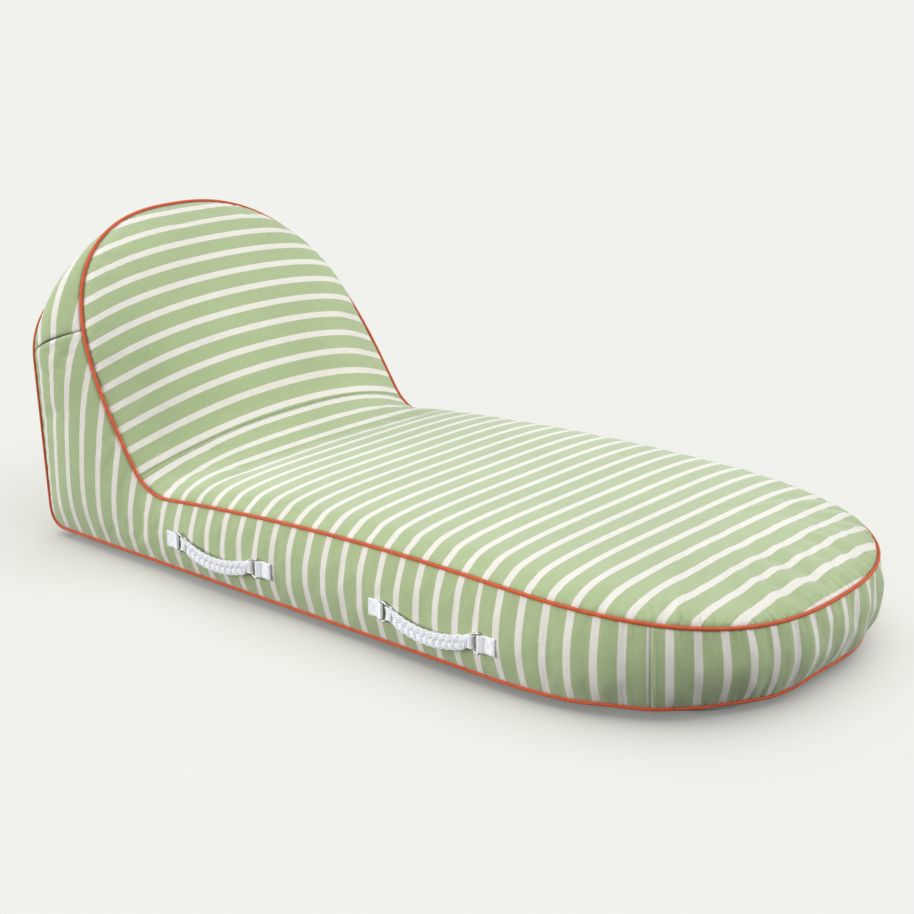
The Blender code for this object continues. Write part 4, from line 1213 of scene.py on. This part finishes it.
def plait_point(x, strand, cord):
    """A cord's place in the plait: (x, up, out), x from the grip's middle."""
    phase = math.tau * (x / (3 * LOBE) + strand / 3)
    ends = smooth(GRIP_REACH - 0.004, GRIP_REACH - 0.024, abs(x))
    wide = 0.0092 + 0.0018 * ends
    up = wide * math.sin(phase)
    out = 0.0022 * (0.45 + 0.55 * ends) * math.sin(2 * phase)
    run_up = wide * math.tau / (3 * LOBE) * math.cos(phase)
    slope = math.hypot(1, run_up)
    off = (cord - 1) * 1.86 * CORD_R * (0.80 + 0.20 * ends)
    x, up = x - off * run_up / slope, up + off / slope
    return x, up, out + (0.0005 if cord == 1 else 0.0)


def grip_lines(middle_x, side):
    """The middle lines of a grip's nine cords, hung in its curve."""
    lines = []
    long = GRIP_REACH - 0.006
    for strand in range(3):
        for cord in range(3):
            line = []
            for x in np.arange(-long, long + 0.0001, 0.0017):
                px, up, out = plait_point(x, strand, cord)
                hang = max(0, 1 - (px / GRIP_REACH) ** 2)
                line.append(Vector((
                    middle_x + px + REAR_X, side * (WALL_Y + RING_STAND + GRIP_BOW * hang + out),
                    HANDLE_Z - GRIP_SAG * hang + up,
                )))
            lines.append(line)
    return lines


def grip(label, middle_x, side):
    """The plait with its whippings, and the loops that hold it to its two rings."""
    turns, loops = [], []
    for end in (-1, 1):
        for k in range(2):
            x = end * (GRIP_REACH - 0.0070 - 0.0034 * k)
            hang = 1 - (x / GRIP_REACH) ** 2
            centre = Vector((
                middle_x + x + REAR_X, side * (WALL_Y + RING_STAND + GRIP_BOW * hang),
                HANDLE_Z - GRIP_SAG * hang,
            ))
            turns.append([
                centre + Vector((0.0010 * math.sin(a), 0.0048 * math.cos(a), 0.0132 * math.sin(a)))
                for a in np.linspace(0, math.tau, 33)[:-1]
            ])
        for k in range(7):
            up = (k - 3) * LOOP_PITCH
            curve = RING_DEPTH * (1 - (1 - abs(up / RING_HALF) ** RING_POWER) ** (1 / RING_POWER))
            loop = []
            for a in np.linspace(0, math.tau, 29)[:-1]:
                ca, sa = math.cos(a), math.sin(a)
                along = curve - 0.0026 + LOOP_LONG * math.copysign(abs(ca) ** 0.75, ca)
                out = LOOP_HALF * math.copysign(abs(sa) ** 0.9, sa)
                loop.append(Vector((
                    middle_x + end * (GRIP_REACH + along) + REAR_X, side * (WALL_Y + RING_STAND + out),
                    HANDLE_Z + up,
                )))
            loops.append(loop)
    cords = [tube_rings(line, CORD_R, 8) for line in grip_lines(middle_x, side)]
    cords += [tube_rings(line, WHIPPING_R, 7, True) for line in turns]
    cords += [tube_rings(line, LOOP_R, 8, True) for line in loops]
    turn_outwards(new_piece(
        f"plaited_grip_{label}", *joined(cords), cord_skin, "white_braid", f"braided_grip_{label}",
        body=f"grip_{label}",
    ))


tab_threads, tree, shader = material("white_thread")
place = node(tree, "TexCoord").outputs["Object"]
twist = node(tree, "TexNoise", {"Vector": place, "Scale": 1800.0}).outputs["Fac"]
set_inputs(tree, shader, {
    "Base Color": mixed(tree, twist, (0.66, 0.67, 0.70), (0.74, 0.75, 0.78)),
    "Roughness": spread(tree, twist, 0.5, 0.7), "Normal": bump(tree, twist, 0.0001, 0.5),
})

seed = 20.0
for side_name, side_sign in (("right", -1), ("left", 1)):
    for place_name, middle_x in HANDLES.items():
        label = f"{side_name}_{place_name}"
        tabs = []
        for end_name, end in (("head_end", -1), ("foot_end", 1)):
            tabs.append((end_name, *webbing_tab(f"{label}_{end_name}", middle_x, side_sign, end, seed)))
            wire_ring(label, end_name, middle_x, side_sign, end)
            seed += 1
        for end_name, lines, tab in tabs:
            stitches(
                f"tab_stitches_{label}_{end_name}", lines, finder(tab), lambda at: Vector((0, at.y, 0)),
                pitch=0.0030, radius=0.00036, skin=tab_threads, slot="white_webbing",
            )
        grip(label, middle_x, side_sign)

# The zip ---------------------------------------------------------------------------------------
# A coil zip across the back: two woven tapes with their nylon coils meshed, a stop at each end,
# and a cast slider with its pull.

tape_skin, tree, shader = material("zip_tape_weave")
place = node(tree, "TexCoord").outputs["Object"]
upright = {"Vector": place, "Rotation": (0, math.radians(90), 0)}
cloth = weave(tree, 1100, node(tree, "Mapping", upright).outputs[0])[1]
set_inputs(tree, shader, {
    "Base Color": mixed(tree, cloth.outputs["Slub"], (0.52, 0.54, 0.46), (0.66, 0.67, 0.60)),
    "Roughness": spread(tree, cloth.outputs["Slub"], 0.7, 0.9),
    "Normal": bump(tree, cloth.outputs["Height"], 0.0002, 0.6),
})
cast_metal, tree, shader = material("zip_metal")
place = node(tree, "TexCoord").outputs["Object"]
fine = node(tree, "TexNoise", {"Vector": place, "Scale": 1400.0, "Detail": 3.0}).outputs["Fac"]
set_inputs(tree, shader, {
    "Base Color": mixed(tree, blotches(tree, 120.0), (0.52, 0.51, 0.49), (0.64, 0.63, 0.60)),
    "Metallic": 1.0,
    "Roughness": spread(tree, fine, 0.30, 0.46), "Normal": bump(tree, fine, 0.00005, 0.4),
})


def paint(skin, *names):
    """CAD nodes whose shape is right keep it, and take this material."""
    for name in names:
        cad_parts[name].material_slots[0].material = skin


paint(tape_skin, "zip_tape_upper", "zip_tape_lower")
paint(cast_metal, "zip_slider", "zip_pull", "zip_stop_left", "zip_stop_right")

coil_skin, tree, shader = material("nylon_coil")
fine = blotches(tree, 900.0)
set_inputs(tree, shader, {
    "Base Color": mixed(tree, fine, (0.58, 0.60, 0.52), (0.68, 0.69, 0.62)),
    "Roughness": spread(tree, fine, 0.35, 0.5), "Normal": bump(tree, fine, 0.0001, 0.3),
})
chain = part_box("zip_chain")
middle, chain_half = (chain[0] + chain[1]) / 2, (chain[1] - chain[0]) / 2
COIL_PITCH, COIL_STEPS = 0.0018, 7  # one turn of the coil, and the points in it
coils = []
for row in (-1, 1):
    line = []
    count = int(2 * (chain_half.y - 0.002) / COIL_PITCH) * COIL_STEPS
    for i in range(count + 1):
        a = math.tau * i / COIL_STEPS
        y = -chain_half.y + 0.002 + COIL_PITCH * (i / COIL_STEPS + (0.5 if row > 0 else 0))
        up = row * (chain_half.z * 0.46 + 0.0013 * math.cos(a))
        line.append(Vector((middle.x + 0.0008 * math.sin(a), y, middle.z + up)))
    coils.append([p for p in line if p.y < chain_half.y - 0.001])
tubes("zip_coils", coils, coil_skin, "zip_coil", "zip_chain", radius=0.00046, sides=5)

# The air chambers ------------------------------------------------------------------------------
# Welded vinyl bladders under the cover, their inner webs, and the valves that fill them.

vinyl, tree, shader = material("clear_white_vinyl")
place = node(tree, "TexCoord").outputs["Object"]
creases = {"Vector": place, "Scale": 26.0, "Detail": 4.0, "Distortion": 0.6}
crumple = node(tree, "TexNoise", creases).outputs["Fac"]
set_inputs(tree, shader, {
    "Base Color": mixed(tree, crumple, (0.66, 0.70, 0.72), (0.76, 0.79, 0.80)),
    "Roughness": spread(tree, crumple, 0.22, 0.38), "Normal": bump(tree, crumple, 0.002, 0.5),
})
moulded, tree, shader = material("moulded_white_plastic")
fine = blotches(tree, 700.0)
set_inputs(tree, shader, {
    "Base Color": mixed(tree, blotches(tree, 40.0), (0.74, 0.76, 0.77), (0.80, 0.81, 0.82)),
    "Roughness": spread(tree, fine, 0.32, 0.44), "Normal": bump(tree, fine, 0.00006, 0.3),
})
paint(vinyl, "base_air_chamber", "head_air_chamber")
paint(vinyl, *(f"base_baffle_{place_name}" for place_name in ("head_end", "middle", "foot_end")))
for chamber in ("base_air", "head_air"):
    paint(moulded, *(f"{chamber}_valve_{part}" for part in ("base", "stem", "cap")))
